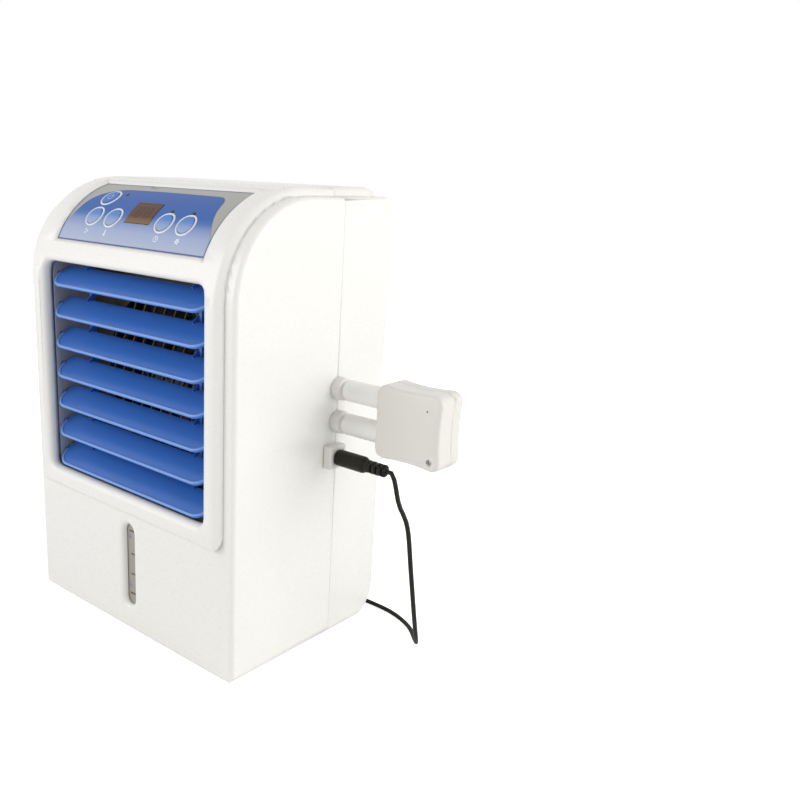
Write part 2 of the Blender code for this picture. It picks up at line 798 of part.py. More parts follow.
def build_casing():
    half_gap = SEAM_GAP / 2
    ends = (-HALF_WIDTH - OVERRUN, HALF_WIDTH + OVERRUN)
    heights = (-OVERRUN, CROWN_TOP + OVERRUN)

    front = casing_solid("front_housing", 0)
    join(front, strip_solid("front_strip"))
    hollow, seat, fill = casing_cutters("front")
    cut(front, hollow)
    boss_low = WINDOW_BOTTOM - BOSS_MARGIN
    join(front, box("window_boss", (-BOSS_HALF, BOSS_HALF), (WALL / 2, BOSS_DEPTH),
                    (boss_low, WINDOW_TOP + BOSS_MARGIN)))
    for side in (-1, 1):
        for height in CASE_SCREW_ZS:
            post = rod("front_post", (side * CASE_SCREW_X, SEAM_Y - POST_FRONT, height),
                       (0, 1, 0), POST_RADIUS, POST_FRONT + OVERRUN, 12)
            join(front, post)
            hole = rod("front_post_hole",
                       (side * CASE_SCREW_X, SEAM_Y - CASE_SCREW_BITE - GAP, height),
                       (0, 1, 0), CASE_SCREW_RADIUS + GAP,
                       CASE_SCREW_BITE + OVERRUN, 12)
            cut(front, hole)
    cut(front, box("front_split", ends, (SEAM_Y - half_gap, BODY_DEPTH + OVERRUN), heights))
    cut(front, seat, fill)
    cut(front, rim_cutter("opening_cut", -OPENING_HALF, OPENING_HALF, OPENING_BOTTOM,
                          OPENING_TOP, OPENING_CORNER, OPENING_FLARE, OPENING_FLARE,
                          WALL + OVERRUN, True))
    cut(front, rim_cutter("window_cut", -WINDOW_HALF, WINDOW_HALF, WINDOW_BOTTOM,
                          WINDOW_TOP, WINDOW_CORNER, WINDOW_BEVEL, WINDOW_SINK,
                          BOSS_DEPTH + OVERRUN, False))
    lens_seat = box("window_seat", (-WINDOW_HALF - OVERRUN / 2, WINDOW_HALF + OVERRUN / 2),
                    (WINDOW_SINK + WINDOW_THICKNESS / 4, BOSS_DEPTH + OVERRUN),
                    (WINDOW_BOTTOM - OVERRUN / 2, WINDOW_TOP + OVERRUN / 2))
    cut(front, lens_seat)
    recess = outline("panel_recess",
                     [panel_sector(PANEL_FLOOR, STRIP_ARC + OVERRUN, PANEL_LOW, PANEL_HIGH, 9)],
                     "YZ", -PANEL_HALF - GAP, PANEL_HALF + GAP)
    cut(front, recess)
    for x, phi in BUTTONS.values():
        hole = rod("button_hole", panel_point(x, phi, BOARD_PLANE), panel_normal(phi),
                   BUTTON_RADIUS + GAP, STRIP_ARC - BOARD_PLANE, 14)
        cut(front, hole)
    for x, phi in LED_PLACES:
        hole = rod("led_hole", panel_point(x, phi, BOARD_PLANE), panel_normal(phi),
                   LED_RADIUS + GAP, STRIP_ARC - BOARD_PLANE, 6)
        cut(front, hole)
    inset = math.degrees(LENS_SEAT / PANEL_FLOOR)
    window = outline("display_hole",
                     [panel_sector(BOARD_PLANE, STRIP_ARC, LENS_LOW + inset,
                                   LENS_HIGH - inset, 5)],
                     "YZ", LENS_SEAT - LENS_HALF, LENS_HALF - LENS_SEAT)
    cut(front, window)
    cut(front, *foot_holes("front", FOOT_FRONT_Y))
    cut(front, *side_fitting_holes("front"))
    finish(front, WHITE, 0.35)

    rear = casing_solid("rear_cover", 0)
    join(rear, strip_solid("rear_strip"))
    hollow, seat, fill = casing_cutters("rear")
    cut(rear, hollow)
    for side in (-1, 1):
        for height in CASE_SCREW_ZS:
            start = SEAM_Y - OVERRUN
            post = rod("rear_post", (side * CASE_SCREW_X, start, height), (0, 1, 0),
                       POST_RADIUS, INNER_REAR - start, 12)
            join(rear, post)
    cut(rear, box("rear_split", ends, (-STRIP_RISE - OVERRUN, SEAM_Y + half_gap), heights))
    for side in (-1, 1):
        for height in CASE_SCREW_ZS:
            bore = rod("rear_post_bore", (side * CASE_SCREW_X, SEAM_Y - OVERRUN, height),
                       (0, 1, 0), CASE_SCREW_RADIUS + GAP, BODY_DEPTH, 12)
            sink_y = screw_face(height)
            sink = rod("rear_post_sink", (side * CASE_SCREW_X, sink_y, height),
                       (0, 1, 0), CASE_SCREW_HEAD + GAP, BODY_DEPTH, 12)
            cut(rear, bore, sink)
    cut(rear, seat, fill)
    lip = GRILLE_RIM - GAP
    grille_hole = box("grille_hole", (-GRILLE_HALF + lip, GRILLE_HALF - lip),
                      (INNER_REAR - OVERRUN, BODY_DEPTH + OVERRUN),
                      (GRILLE_BOTTOM + lip, GRILLE_TOP - lip))
    cut(rear, grille_hole)
    spout = rod("spout_hole", (SPOUT_X, SEAM_Y, SPOUT_Z), (0, 1, 0),
                SPOUT_RADIUS + GAP, BODY_DEPTH, 16)
    cut(rear, spout)
    axis_y = LID_REAR - LID_HINGE_BACK
    floor = CROWN_TOP - LID_THICKNESS - LID_GROOVE
    groove = outline("hinge_groove",
                     [[(axis_y - LID_GROOVE, floor), (LID_REAR + GAP * 2, floor),
                       (LID_REAR + GAP * 2, CROWN_TOP + OVERRUN),
                       (axis_y - LID_GROOVE, CROWN_TOP + OVERRUN)]],
                     "YZ", -LID_HALF - GAP, LID_HALF + GAP)
    cut(rear, groove)
    reach = LID_HALF + LID_PIN_REACH + GAP
    cut(rear, rod("hinge_bore", (-reach, axis_y, CROWN_TOP - LID_HINGE_DROP), (1, 0, 0),
                  LID_PIN + GAP, reach * 2, 8))
    cut(rear, *foot_holes("rear", FOOT_REAR_Y))
    cut(rear, *side_fitting_holes("rear"))
    finish(rear, WHITE, 0.35)


def screw_face(height):
    """Floor of the screw recess: below the cover's face at that height."""
    bottom = FOOT_DROP + REAR_BOTTOM_ROUND
    if height < bottom:
        drop = bottom - height
        centre = BODY_DEPTH - REAR_BOTTOM_ROUND
        face = centre + math.sqrt(REAR_BOTTOM_ROUND ** 2 - drop ** 2)
    else:
        face = BODY_DEPTH
    return face - CASE_SCREW_SINK


def foot_holes(name, y):
    holes = []
    for side in (-1, 1):
        holes.append(rod(name + "_foot_hole", (side * FOOT_X, y, -OVERRUN), (0, 0, 1),
                         FOOT_STEM + GAP, FLOOR_Z + OVERRUN * 2, 12))
    return holes


def side_fitting_holes(name):
    """Holes in the right wall for the two hose ports and the socket."""
    holes = []
    for z in (PORT_UPPER_Z, PORT_UPPER_Z - PORT_PITCH):
        holes.append(rod(name + "_port_hole", (INNER_HALF - OVERRUN, SEAM_Y, z), (1, 0, 0),
                         COLLAR_SEAT + GAP, WALL + OVERRUN * 2, 16))
    inner = SOCKET_SIZE / 2 - WALL / 2 + GAP
    holes.append(box(name + "_socket_hole", (INNER_HALF - OVERRUN, HALF_WIDTH + OVERRUN),
                     (SOCKET_Y - inner, SOCKET_Y + inner), (SOCKET_Z - inner, SOCKET_Z + inner)))
    return holes


BUTTONS = {
    "power_button": (PANEL_HALF * POWER_SHARE, POWER_PHI),
    "fan_speed_button": (PANEL_HALF * SPEED_SHARE, BUTTON_ROW),
    "thermostat_button": (PANEL_HALF * THERMO_SHARE, BUTTON_ROW),
    "timer_button": (PANEL_HALF * TIMER_SHARE, BUTTON_ROW),
    "ion_button": (PANEL_HALF * ION_SHARE, BUTTON_ROW),
}


def build_feet_and_screws():
    half = FOOT_X + FOOT_OVERHANG
    for name, y in (("rubber_foot_front", FOOT_FRONT_Y), ("rubber_foot_rear", FOOT_REAR_Y)):
        low = y - FOOT_HALF_DEPTH
        high = y + FOOT_HALF_DEPTH
        foot = outline(name, [round_box(-half, half, low, high, FOOT_HALF_DEPTH * 0.95, 4)],
                       "XY", 0, FOOT_DROP - GAP)
        for side in (-1, 1):
            join(foot, rod("foot_stem", (side * FOOT_X, y, FOOT_DROP / 2), (0, 0, 1),
                           FOOT_STEM, FLOOR_Z - FOOT_DROP / 2, 12))
        finish(foot, (0.06, 0.06, 0.065), 0.85)

    for side_name, side in (("left", -1), ("right", 1)):
        for level, height in (("lower", CASE_SCREW_LOW), ("upper", CASE_SCREW_HIGH)):
            face = screw_face(height) + GAP
            top = face + CASE_SCREW_SINK * 0.7
            tip = SEAM_Y - CASE_SCREW_BITE
            profile = [(0, top), (CASE_SCREW_HEAD, top), (CASE_SCREW_HEAD, face),
                       (CASE_SCREW_RADIUS, face), (CASE_SCREW_RADIUS, tip), (0, tip)]
            screw = turned("case_screw_%s_%s" % (side_name, level), profile,
                           (side * CASE_SCREW_X, 0, height), (0, 1, 0), 10)
            finish(screw, (0.55, 0.55, 0.56), 0.35, 1.0)


def board_reach(phi, half):
    """Radius where a rod that stands square to the label clears the board."""
    lean = math.radians(abs(phi - (BOARD_LOW + BOARD_HIGH) / 2))
    return BOARD_PLANE / math.cos(lean) + half * math.tan(lean) + GAP


def build_panel():
    face = panel_sector(PANEL_FACE - PANEL_THICKNESS, PANEL_FACE,
                        PANEL_LOW + GAP_ANGLE, PANEL_HIGH - GAP_ANGLE, 9)
    label = outline("control_label", [face], "YZ", -PANEL_HALF, PANEL_HALF)
    for x, phi in BUTTONS.values():
        cut(label, rod("label_hole", panel_point(x, phi, PANEL_FLOOR - OVERRUN),
                       panel_normal(phi), BUTTON_RADIUS + GAP, OVERRUN * 3, 14))
    for x, phi in LED_PLACES:
        cut(label, rod("label_led", panel_point(x, phi, PANEL_FLOOR - OVERRUN),
                       panel_normal(phi), LED_RADIUS + GAP, OVERRUN * 3, 6))
    cut(label, outline("label_window",
                       [panel_sector(PANEL_FLOOR - OVERRUN, STRIP_ARC, LENS_LOW, LENS_HIGH, 5)],
                       "YZ", -LENS_HALF - GAP, LENS_HALF + GAP))
    finish(label, (0.09, 0.20, 0.52), 0.3)

    inset = math.degrees(GAP / PANEL_FACE)
    lens = outline("display_lens",
                   [panel_sector(PANEL_FLOOR + GAP, PANEL_FACE + LENS_RISE, LENS_LOW + inset,
                                 LENS_HIGH - inset, 5)], "YZ", -LENS_HALF, LENS_HALF)
    finish(lens, (0.18, 0.07, 0.03), 0.12)

    guide_low = board_reach(LED_PLACES[0][1], LED_RADIUS)
    guide_high = guide_low + LED_RADIUS * 1.2
    arm = math.degrees(LED_RADIUS / guide_low)
    row = LED_PLACES[0][1]
    lamps = outline("indicator_lenses",
                    [panel_sector(guide_low, guide_high, row - arm, row + arm, 1)], "YZ",
                    LED_PLACES[0][0] - LED_RADIUS, LED_PLACES[-1][0] + LED_RADIUS)
    for x, phi in LED_PLACES:
        if phi < row:
            join(lamps, outline("guide_arm", [panel_sector(guide_low + GAP, guide_high - GAP,
                                                           phi, row, 3)],
                                "YZ", x - LED_RADIUS * 0.6, x + LED_RADIUS * 0.6))
        join(lamps, rod("lamp", panel_point(x, phi, guide_low), panel_normal(phi),
                        LED_RADIUS, PANEL_FACE + LENS_RISE - guide_low, 6))
    finish(lamps, (0.75, 0.78, 0.80), 0.2)

    tilt = (BOARD_LOW + BOARD_HIGH) / 2
    normal = panel_normal(tilt)
    arc_shift = Vector((0, FRONT_ARC - STRIP_CENTRE_Y,
                        SIDE_HEIGHT - FRONT_ARC - STRIP_CENTRE_Z))
    standoff = FRONT_ARC - WALL + arc_shift.dot(normal) - BOARD_PLANE - GAP * 2
    along = Vector((0, math.sin(math.radians(tilt)), math.cos(math.radians(tilt))))
    half_height = BOARD_PLANE * math.sin(math.radians((BOARD_HIGH - BOARD_LOW) / 2))
    board = box("control_board", (-BOARD_HALF, BOARD_HALF), (-half_height, half_height),
                (-BOARD_THICKNESS, 0))
    centre = panel_point(0, tilt, BOARD_PLANE)
    turn = Matrix((Vector((1, 0, 0)), along, normal)).transposed().to_4x4()
    board.data.transform(Matrix.Translation(centre) @ turn)
    post_place = Matrix.Translation(centre) @ turn
    for side in (-1, 1):
        post = box("board_post", (side * BOARD_HALF - POST_RADIUS / 2,
                                  side * BOARD_HALF + POST_RADIUS / 2),
                   (-POST_RADIUS, POST_RADIUS), (-BOARD_THICKNESS / 2, standoff))
        post.data.transform(post_place)
        join(board, post)

    display = box("display_module", (-LENS_HALF + GAP * 2, LENS_HALF - GAP * 2),
                  (-DISPLAY_HALF, DISPLAY_HALF), (GAP, DISPLAY_DEPTH))
    middle = (LENS_LOW + LENS_HIGH) / 2
    shift = BOARD_PLANE * math.sin(math.radians(middle - tilt))
    display.data.transform(post_place @ Matrix.Translation((0, shift, 0)))
    finish(display, (0.03, 0.02, 0.02), 0.3)

    for name, (x, phi) in BUTTONS.items():
        inner = PANEL_FACE + BUTTON_RISE - BUTTON_DEPTH
        obj = turned(name,
                     [(0, PANEL_FACE + BUTTON_RISE),
                      (BUTTON_RADIUS * 0.93, PANEL_FACE + BUTTON_RISE),
                      (BUTTON_RADIUS, PANEL_FACE + BUTTON_RISE * 0.3),
                      (BUTTON_RADIUS, inner + FLANGE_THICKNESS),
                      (FLANGE_RADIUS, inner + FLANGE_THICKNESS),
                      (FLANGE_RADIUS, inner), (0, inner)],
                     panel_point(x, phi, 0), panel_normal(phi), 14)
        set_origin(obj, panel_point(x, phi, PANEL_FACE))
        finish(obj, (0.10, 0.22, 0.55), 0.35)
        top = inner - BUTTON_TRAVEL - GAP
        foot = BOARD_PLANE - BOARD_THICKNESS / 2
        profile = [(0, top), (SWITCH_HALF * 0.5, top), (SWITCH_HALF * 0.5, top - SWITCH_STEM),
                   (SWITCH_HALF, top - SWITCH_STEM), (SWITCH_HALF, foot), (0, foot)]
        join(board, turned("switch", profile, panel_point(x, phi, 0),
                           panel_normal(phi), 10))
    finish(board, (0.05, 0.22, 0.10), 0.5)


# Louvre, guard and fan
def blade_pivot(index):
    return Vector((0, PIVOT_Y, PIVOT_TOP_Z - BLADE_PITCH * index))


def along_chord(distance, lift=0.0):
    """Offset from a blade's pivot: distance to the rear, lift square to the blade."""
    tilt = math.radians(BLADE_TILT)
    return Vector((0, distance * math.cos(tilt) - lift * math.sin(tilt),
                   distance * math.sin(tilt) + lift * math.cos(tilt)))


def build_blade(index):
    front = -BLADE_CHORD * BLADE_PIVOT_SHARE
    rear = front + BLADE_CHORD
    points = arc(BLADE_HALF - BLADE_FRONT_ROUND, front + BLADE_FRONT_ROUND,
                 BLADE_FRONT_ROUND, BLADE_FRONT_ROUND, -90, 0, 4)
    points += arc(BLADE_HALF - BLADE_REAR_ROUND, rear - BLADE_REAR_ROUND,
                  BLADE_REAR_ROUND, BLADE_REAR_ROUND, 0, 90, 2)
    points += [(-x, y) for x, y in reversed(points)]
    blade = outline("louvre_blade_%d" % (index + 1), [points], "XY",
                    -BLADE_THICKNESS / 2, BLADE_THICKNESS / 2)
    lip_half = BLADE_HALF - BLADE_FRONT_ROUND
    lip = box("lip", (-lip_half, lip_half), (front, front + BLADE_LIP_DEPTH),
              (0, BLADE_THICKNESS / 2 + BLADE_LIP_HEIGHT))
    join(blade, lip)
    reach = OPENING_HALF + FRAME_WALL - GAP
    join(blade, rod("pivot", (-reach, 0, 0), (1, 0, 0), PIVOT_RADIUS, reach * 2, 6))
    for side in (-1, 1):
        ear_x = side * (LINK_X - LINK_WIDTH / 2 - GAP - EAR_THICKNESS / 2)
        ear = box("ear", (ear_x - EAR_THICKNESS / 2, ear_x + EAR_THICKNESS / 2),
                  (rear - BLADE_REAR_ROUND / 2, CRANK_LENGTH + EAR_HALF),
                  (-BLADE_THICKNESS / 4, EAR_HALF + BLADE_THICKNESS / 2))
        length = EAR_THICKNESS + LINK_WIDTH + GAP * 2
        pin_x = ear_x - side * EAR_THICKNESS / 2
        pin = rod("crank_pin", (pin_x, CRANK_LENGTH, EAR_LIFT), (side, 0, 0),
                  CRANK_PIN_RADIUS, length, 6)
        join(blade, ear, pin)
    bake(blade)
    blade.data.transform(Matrix.Rotation(math.radians(BLADE_TILT), 4, "X"))
    blade.location = blade_pivot(index)
    finish(blade, (0.05, 0.20, 0.62), 0.35)


def crank_pin(index):
    return blade_pivot(index) + along_chord(CRANK_LENGTH, EAR_LIFT)


def build_louvre():
    high = OPENING_TOP + FRAME_TOP_ROOM
    inner = round_box(-OPENING_HALF, OPENING_HALF, OPENING_BOTTOM, high, OPENING_CORNER, 3)
    wide = OPENING_HALF + FRAME_WALL
    outer = round_box(-wide, wide, OPENING_BOTTOM - FRAME_WALL, high + FRAME_WALL,
                      OPENING_CORNER + FRAME_WALL, 3)
    frame = outline("louvre_frame", [outer, inner], "XZ", LOUVRE_FRONT, LOUVRE_REAR)
    keep(frame, outline("frame_limit", [side_profile(WALL + GAP)], "YZ",
                        -INNER_HALF, INNER_HALF))
    for index in range(BLADE_COUNT):
        pivot = blade_pivot(index)
        cut(frame, rod("pivot_bore", (-wide - OVERRUN, pivot.y, pivot.z), (1, 0, 0),
                       PIVOT_RADIUS + PIN_GAP, (wide + OVERRUN) * 2, 6))
    finish(frame, (0.42, 0.42, 0.42), 0.5)

    for index in range(BLADE_COUNT):
        build_blade(index)

    for side, name in ((-1, "louvre_link_left"), (1, "louvre_link_right")):
        top = crank_pin(0)
        low = crank_pin(BLADE_COUNT - 1)
        link = box(name, (side * LINK_X - LINK_WIDTH / 2, side * LINK_X + LINK_WIDTH / 2),
                   (top.y - LINK_DEPTH / 2, top.y + LINK_DEPTH / 2),
                   (low.z - LINK_END, top.z + LINK_END))
        for index in range(BLADE_COUNT):
            pin = crank_pin(index)
            cut(link, rod("link_bore", (side * LINK_X - LINK_WIDTH, pin.y, pin.z), (1, 0, 0),
                          CRANK_PIN_RADIUS + PIN_GAP, LINK_WIDTH * 2, 6))
        set_origin(link, (side * LINK_X, top.y, top.z))
        finish(link, (0.05, 0.20, 0.62), 0.4)


def guard_slots():
    """Slots between the guard's slanted bars, each bounded by the round aperture."""
    slots = []
    radius = GUARD_APERTURE
    slant = math.radians(GUARD_BAR_SLANT)
    count = int(radius / GUARD_BAR_PITCH)
    for index in range(-count - 1, count + 1):
        low = max(index * GUARD_BAR_PITCH + GUARD_BAR_WIDTH / 2, -radius * 0.985)
        high = min((index + 1) * GUARD_BAR_PITCH - GUARD_BAR_WIDTH / 2, radius * 0.985)
        if high - low < GUARD_BAR_WIDTH:
            continue
        a = math.degrees(math.asin(low / radius))
        b = math.degrees(math.asin(high / radius))
        loop = arc(0, 0, radius, radius, a, b, 3) + arc(0, 0, radius, radius, 180 - b, 180 - a, 3)
        slots.append([(u * math.cos(slant) - v * math.sin(slant),
                       FAN_Z + u * math.sin(slant) + v * math.cos(slant)) for u, v in loop])
    return slots


def build_fan():
    high = OPENING_TOP + FRAME_TOP_ROOM + FRAME_WALL
    wide = OPENING_HALF + FRAME_WALL
    plate = round_box(-wide, wide, OPENING_BOTTOM - FRAME_WALL, high,
                      OPENING_CORNER + FRAME_WALL, 3)
    guard = outline("outlet_guard", [plate] + guard_slots(), "XZ",
                    LOUVRE_REAR + GAP, GUARD_REAR)
    finish(guard, (0.20, 0.17, 0.10), 0.5)

    half = FAN_SIZE / 2
    square = round_box(-half, half, FAN_Z - half, FAN_Z + half, FAN_CORNER, 3)
    loops = [square, arc(0, FAN_Z, FAN_BORE, FAN_BORE, 0, 348.75, 31)]
    hole = half - FAN_SCREW_INSET
    for x in (-hole, hole):
        for z in (-hole, hole):
            loops.append(arc(x, FAN_Z + z, FAN_SCREW_RADIUS, FAN_SCREW_RADIUS, 0, 300, 5))
    frame = outline("fan_frame", loops, "XZ", FAN_FRONT, FAN_REAR)
    hub = rod("hub", (0, HUB_FRONT, FAN_Z), (0, 1, 0), HUB_RADIUS, HUB_THICKNESS, 20)
    arm = FAN_BORE + OVERRUN / 2
    join(hub, box("strut_across", (-arm, arm), (HUB_FRONT + GAP, FAN_REAR - GAP),
                  (FAN_Z - STRUT_WIDTH / 2, FAN_Z + STRUT_WIDTH / 2)))
    join(hub, box("strut_up", (-STRUT_WIDTH / 2, STRUT_WIDTH / 2),
                  (HUB_FRONT + GAP, FAN_REAR - GAP), (FAN_Z - arm, FAN_Z + arm)))
    join(frame, bake(hub))
    finish(frame, (0.03, 0.03, 0.032), 0.5)

    motor = turned("fan_motor",
                   [(0, MOTOR_LENGTH + CUP_WALL), (SHAFT_RADIUS, MOTOR_LENGTH + CUP_WALL),
                    (SHAFT_RADIUS, MOTOR_LENGTH), (MOTOR_RADIUS, MOTOR_LENGTH),
                    (MOTOR_RADIUS, 0), (0, 0)],
                   (0, HUB_FRONT - GAP, FAN_Z), (0, -1, 0), 20)
    finish(motor, (0.30, 0.30, 0.31), 0.4, 0.6)

    cup_front = MOTOR_FRONT - CUP_ROOM - CUP_WALL
    depth = HUB_FRONT - CUP_ROOM - cup_front
    bore = SHAFT_RADIUS + GAP
    cup = turned("fan_impeller",
                 [(bore, depth), (CUP_RADIUS * 0.9, depth), (CUP_RADIUS, depth * 0.9),
                  (CUP_RADIUS, 0), (CUP_RADIUS - CUP_WALL, 0),
                  (CUP_RADIUS - CUP_WALL, depth - CUP_WALL), (bore, depth - CUP_WALL)],
                 (0, cup_front + depth, FAN_Z), (0, -1, 0), 21)
    middle = cup_front + depth / 2
    for index in range(FAN_BLADES):
        vane = box("vane", (CUP_RADIUS - CUP_WALL / 2, FAN_TIP),
                   (-FAN_BLADE_THICKNESS / 2, FAN_BLADE_THICKNESS / 2),
                   (-FAN_BLADE_CHORD / 2, FAN_BLADE_CHORD / 2))
        pitch = Matrix.Rotation(math.radians(90 - FAN_BLADE_ANGLE), 4, "X")
        spin = Matrix.Rotation(2 * math.pi * index / FAN_BLADES, 4, "Y")
        vane.data.transform(Matrix.Translation((0, middle, FAN_Z)) @ spin @ pitch)
        join(cup, vane)
    set_origin(cup, (0, middle, FAN_Z))
    finish(cup, (0.03, 0.03, 0.032), 0.45)


# Pad, tray, tank, pump and hoses
def build_water():
    pad_rear = PAD_Y + PAD_DEPTH + PAD_FRAME_WALL
    wide = PAD_HALF + PAD_FRAME_WALL
    base = TANK_TOP + GAP
    top = PAD_TOP
    window = [(-PAD_HALF, base + PAD_FRAME_WALL), (PAD_HALF, base + PAD_FRAME_WALL),
              (PAD_HALF, top - PAD_FRAME_WALL), (-PAD_HALF, top - PAD_FRAME_WALL)]
    outer = [(-wide, base), (wide, base), (wide, top), (-wide, top)]
    frame = outline("pad_frame", [outer, window], "XZ", PAD_Y, pad_rear)
    join(frame, box("pad_foot", (-TANK_HALF, TANK_HALF), (PAD_Y, pad_rear),
                    (base, base + PAD_FRAME_WALL * 0.98)))
    pad_middle = (PAD_Y + pad_rear) / 2
    slot = box("pad_slot", (-PAD_HALF + PAD_FRAME_WALL, PAD_HALF - PAD_FRAME_WALL),
               (pad_middle - PAD_FRAME_WALL * 1.5, pad_middle + PAD_FRAME_WALL * 1.5),
               (base - OVERRUN, top + OVERRUN))
    cut(frame, slot)
    finish(frame, (0.72, 0.73, 0.74), 0.5)

    pad = box("cooling_pad", (-PAD_HALF + GAP, PAD_HALF - GAP),
              (pad_middle - PAD_DEPTH / 2, pad_middle + PAD_DEPTH / 2),
              (base + PAD_FRAME_WALL + GAP, top - PAD_FRAME_WALL - GAP))
    finish(pad, (0.33, 0.25, 0.14), 0.9, 0.0, False)

    tray_low = PAD_TOP + GAP
    tray_high = tray_low + TRAY_HEIGHT
    tray_front = PAD_Y - TRAY_OVERHANG
    tray_rear = pad_rear + TRAY_OVERHANG
    tray = box("drip_tray", (-wide, wide), (tray_front, tray_rear), (tray_low, tray_high))
    cut(tray, box("tray_hollow", (-wide + TRAY_WALL, wide - TRAY_WALL),
                  (tray_front + TRAY_WALL, tray_rear - TRAY_WALL),
                  (tray_low + TRAY_WALL, tray_high + OVERRUN)))
    holes = []
    for index in range(TRAY_HOLES):
        x = (index + 0.5 - TRAY_HOLES / 2) * (wide * 1.7 / TRAY_HOLES)
        holes.append(rod("tray_hole", (x, pad_middle, tray_low - OVERRUN), (0, 0, 1),
                         TRAY_HOLE, TRAY_WALL + OVERRUN * 2, 6))
    cut(tray, group("tray_holes", holes))
    inlet_z = (tray_low + tray_high) / 2
    cut(tray, rod("tray_inlet", (wide - TRAY_WALL * 2, pad_middle, inlet_z), (1, 0, 0),
                  HOSE_RADIUS + GAP, TRAY_WALL * 3, 10))
    finish(tray, (0.75, 0.76, 0.77), 0.45)

    tank = outline("water_tank", [tank_profile(0)], "YZ", -TANK_HALF, TANK_HALF)
    hollow = outline("tank_hollow", [tank_profile(TANK_WALL)], "YZ",
                     TANK_WALL - TANK_HALF, TANK_HALF - TANK_WALL)
    cut(tank, hollow)
    start = TANK_REAR - TANK_WALL * 1.5
    join(tank, rod("spout", (SPOUT_X, start, SPOUT_Z), (0, 1, 0), SPOUT_RADIUS,
                   BODY_DEPTH - start, 16))
    cut(tank, rod("spout_bore", (SPOUT_X, start - OVERRUN, SPOUT_Z), (0, 1, 0),
                  SPOUT_BORE, BODY_DEPTH, 12))
    finish(tank, (0.62, 0.66, 0.68), 0.3)

    stem = SPOUT_BORE - GAP
    plug = turned("drain_plug",
                  [(0, GRILLE_PROUD), (PLUG_HEAD * 0.9, GRILLE_PROUD),
                   (PLUG_HEAD, GRILLE_PROUD * 0.7), (PLUG_HEAD, GAP), (stem, GAP),
                   (stem, -PLUG_LENGTH), (0, -PLUG_LENGTH)],
                  (0, 0, 0), (0, 1, 0), 16)
    plug.location = (SPOUT_X, BODY_DEPTH, SPOUT_Z)
    finish(plug, (0.06, 0.06, 0.065), 0.7)

    floor = TANK_BOTTOM + TANK_WALL + GAP
    pump_top = floor + PUMP_HEIGHT
    pump = box("pump", (PUMP_X - PUMP_WIDTH / 2, PUMP_X + PUMP_WIDTH / 2),
               (PUMP_Y - PUMP_DEPTH / 2, PUMP_Y + PUMP_DEPTH / 2), (floor, pump_top))
    bevel(pump, PUMP_ROUND, 2)
    join(pump, rod("pump_nozzle", (PUMP_X, PUMP_Y, pump_top - OVERRUN), (0, 0, 1),
                   NOZZLE_RADIUS, NOZZLE_HEIGHT + OVERRUN, 12))
    finish(pump, (0.03, 0.03, 0.032), 0.5)

    port_x = INNER_HALF - NIPPLE_INNER + WALL - GAP
    lower_z = PORT_UPPER_Z - PORT_PITCH
    lift = pump_top + NOZZLE_HEIGHT + GAP
    hose("supply_hose", [(PUMP_X, PUMP_Y, lift), (PUMP_X, PUMP_Y, lift + HOSE_RADIUS),
                         (PUMP_X + HOSE_RADIUS / 4, PUMP_Y + HOSE_RADIUS / 2, (lift + lower_z) / 2),
                         (PUMP_X + HOSE_RADIUS * 2, PUMP_Y + HOSE_RADIUS / 4,
                          lower_z - HOSE_RADIUS * 5),
                         (port_x - HOSE_RADIUS * 1.6, SEAM_Y, lower_z - HOSE_RADIUS * 0.5),
                         (port_x - HOSE_RADIUS * 0.6, SEAM_Y, lower_z),
                         (port_x, SEAM_Y, lower_z)])
    side_x = wide + HOSE_RADIUS
    hose("return_hose", [(port_x, SEAM_Y, PORT_UPPER_Z),
                         (port_x - HOSE_RADIUS * 0.6, SEAM_Y, PORT_UPPER_Z),
                         (side_x + HOSE_RADIUS, SEAM_Y, PORT_UPPER_Z + HOSE_RADIUS * 2),
                         (side_x + HOSE_RADIUS, SEAM_Y, (PORT_UPPER_Z + tray_low) / 2),
                         (side_x + HOSE_RADIUS * 1.4, (SEAM_Y + pad_middle) / 2,
                          tray_low - HOSE_RADIUS * 3),
                         (side_x + HOSE_RADIUS, pad_middle, inlet_z - HOSE_RADIUS * 0.6),
                         (side_x, pad_middle, inlet_z),
                         (wide - TRAY_WALL, pad_middle, inlet_z)])


def hose(name, points):
    path = routed_path(points, HOSE_RADIUS * 2.6)
    body = tube(name, path, HOSE_RADIUS, 1)
    first = path[0] + (path[0] - path[1]).normalized() * OVERRUN
    last = path[-1] + (path[-1] - path[-2]).normalized() * OVERRUN
    bore = tube(name + "_bore", [first] + path[1:-1] + [last], HOSE_BORE, 1)
    cut(body, bore)
    finish(body, (0.70, 0.72, 0.73), 0.4)


def tank_profile(inset):
    """Side view of the tank: open above when it is moved in by its wall."""
    front = TANK_FRONT + inset
    rear = TANK_REAR - inset
    low = TANK_BOTTOM + inset
    high = TANK_TOP + (OVERRUN if inset else 0)
    round_rear = REAR_BOTTOM_ROUND - WALL - GAP - TANK_REAR_SPACE * TANK_ROUND_SHARE - inset
    round_front = max(TANK_FRONT_ROUND - inset, GAP)
    points = arc(front + round_front, low + round_front, round_front, round_front, 180, 270, 3)
    points += arc(rear - round_rear, low + round_rear, round_rear, round_rear, 270, 360, 7)
    return points + [(rear, high), (front, high)]


# Level window, lid, rear grille and ion generator
def build_window():
    margin = OVERRUN / 2 - GAP
    front = WINDOW_SINK + WINDOW_THICKNESS / 4 + GAP
    window = box("level_window", (-WINDOW_HALF - margin, WINDOW_HALF + margin),
                 (front, front + WINDOW_THICKNESS), (WINDOW_BOTTOM - margin, WINDOW_TOP + margin))
    finish(window, (0.55, 0.53, 0.50), 0.15)


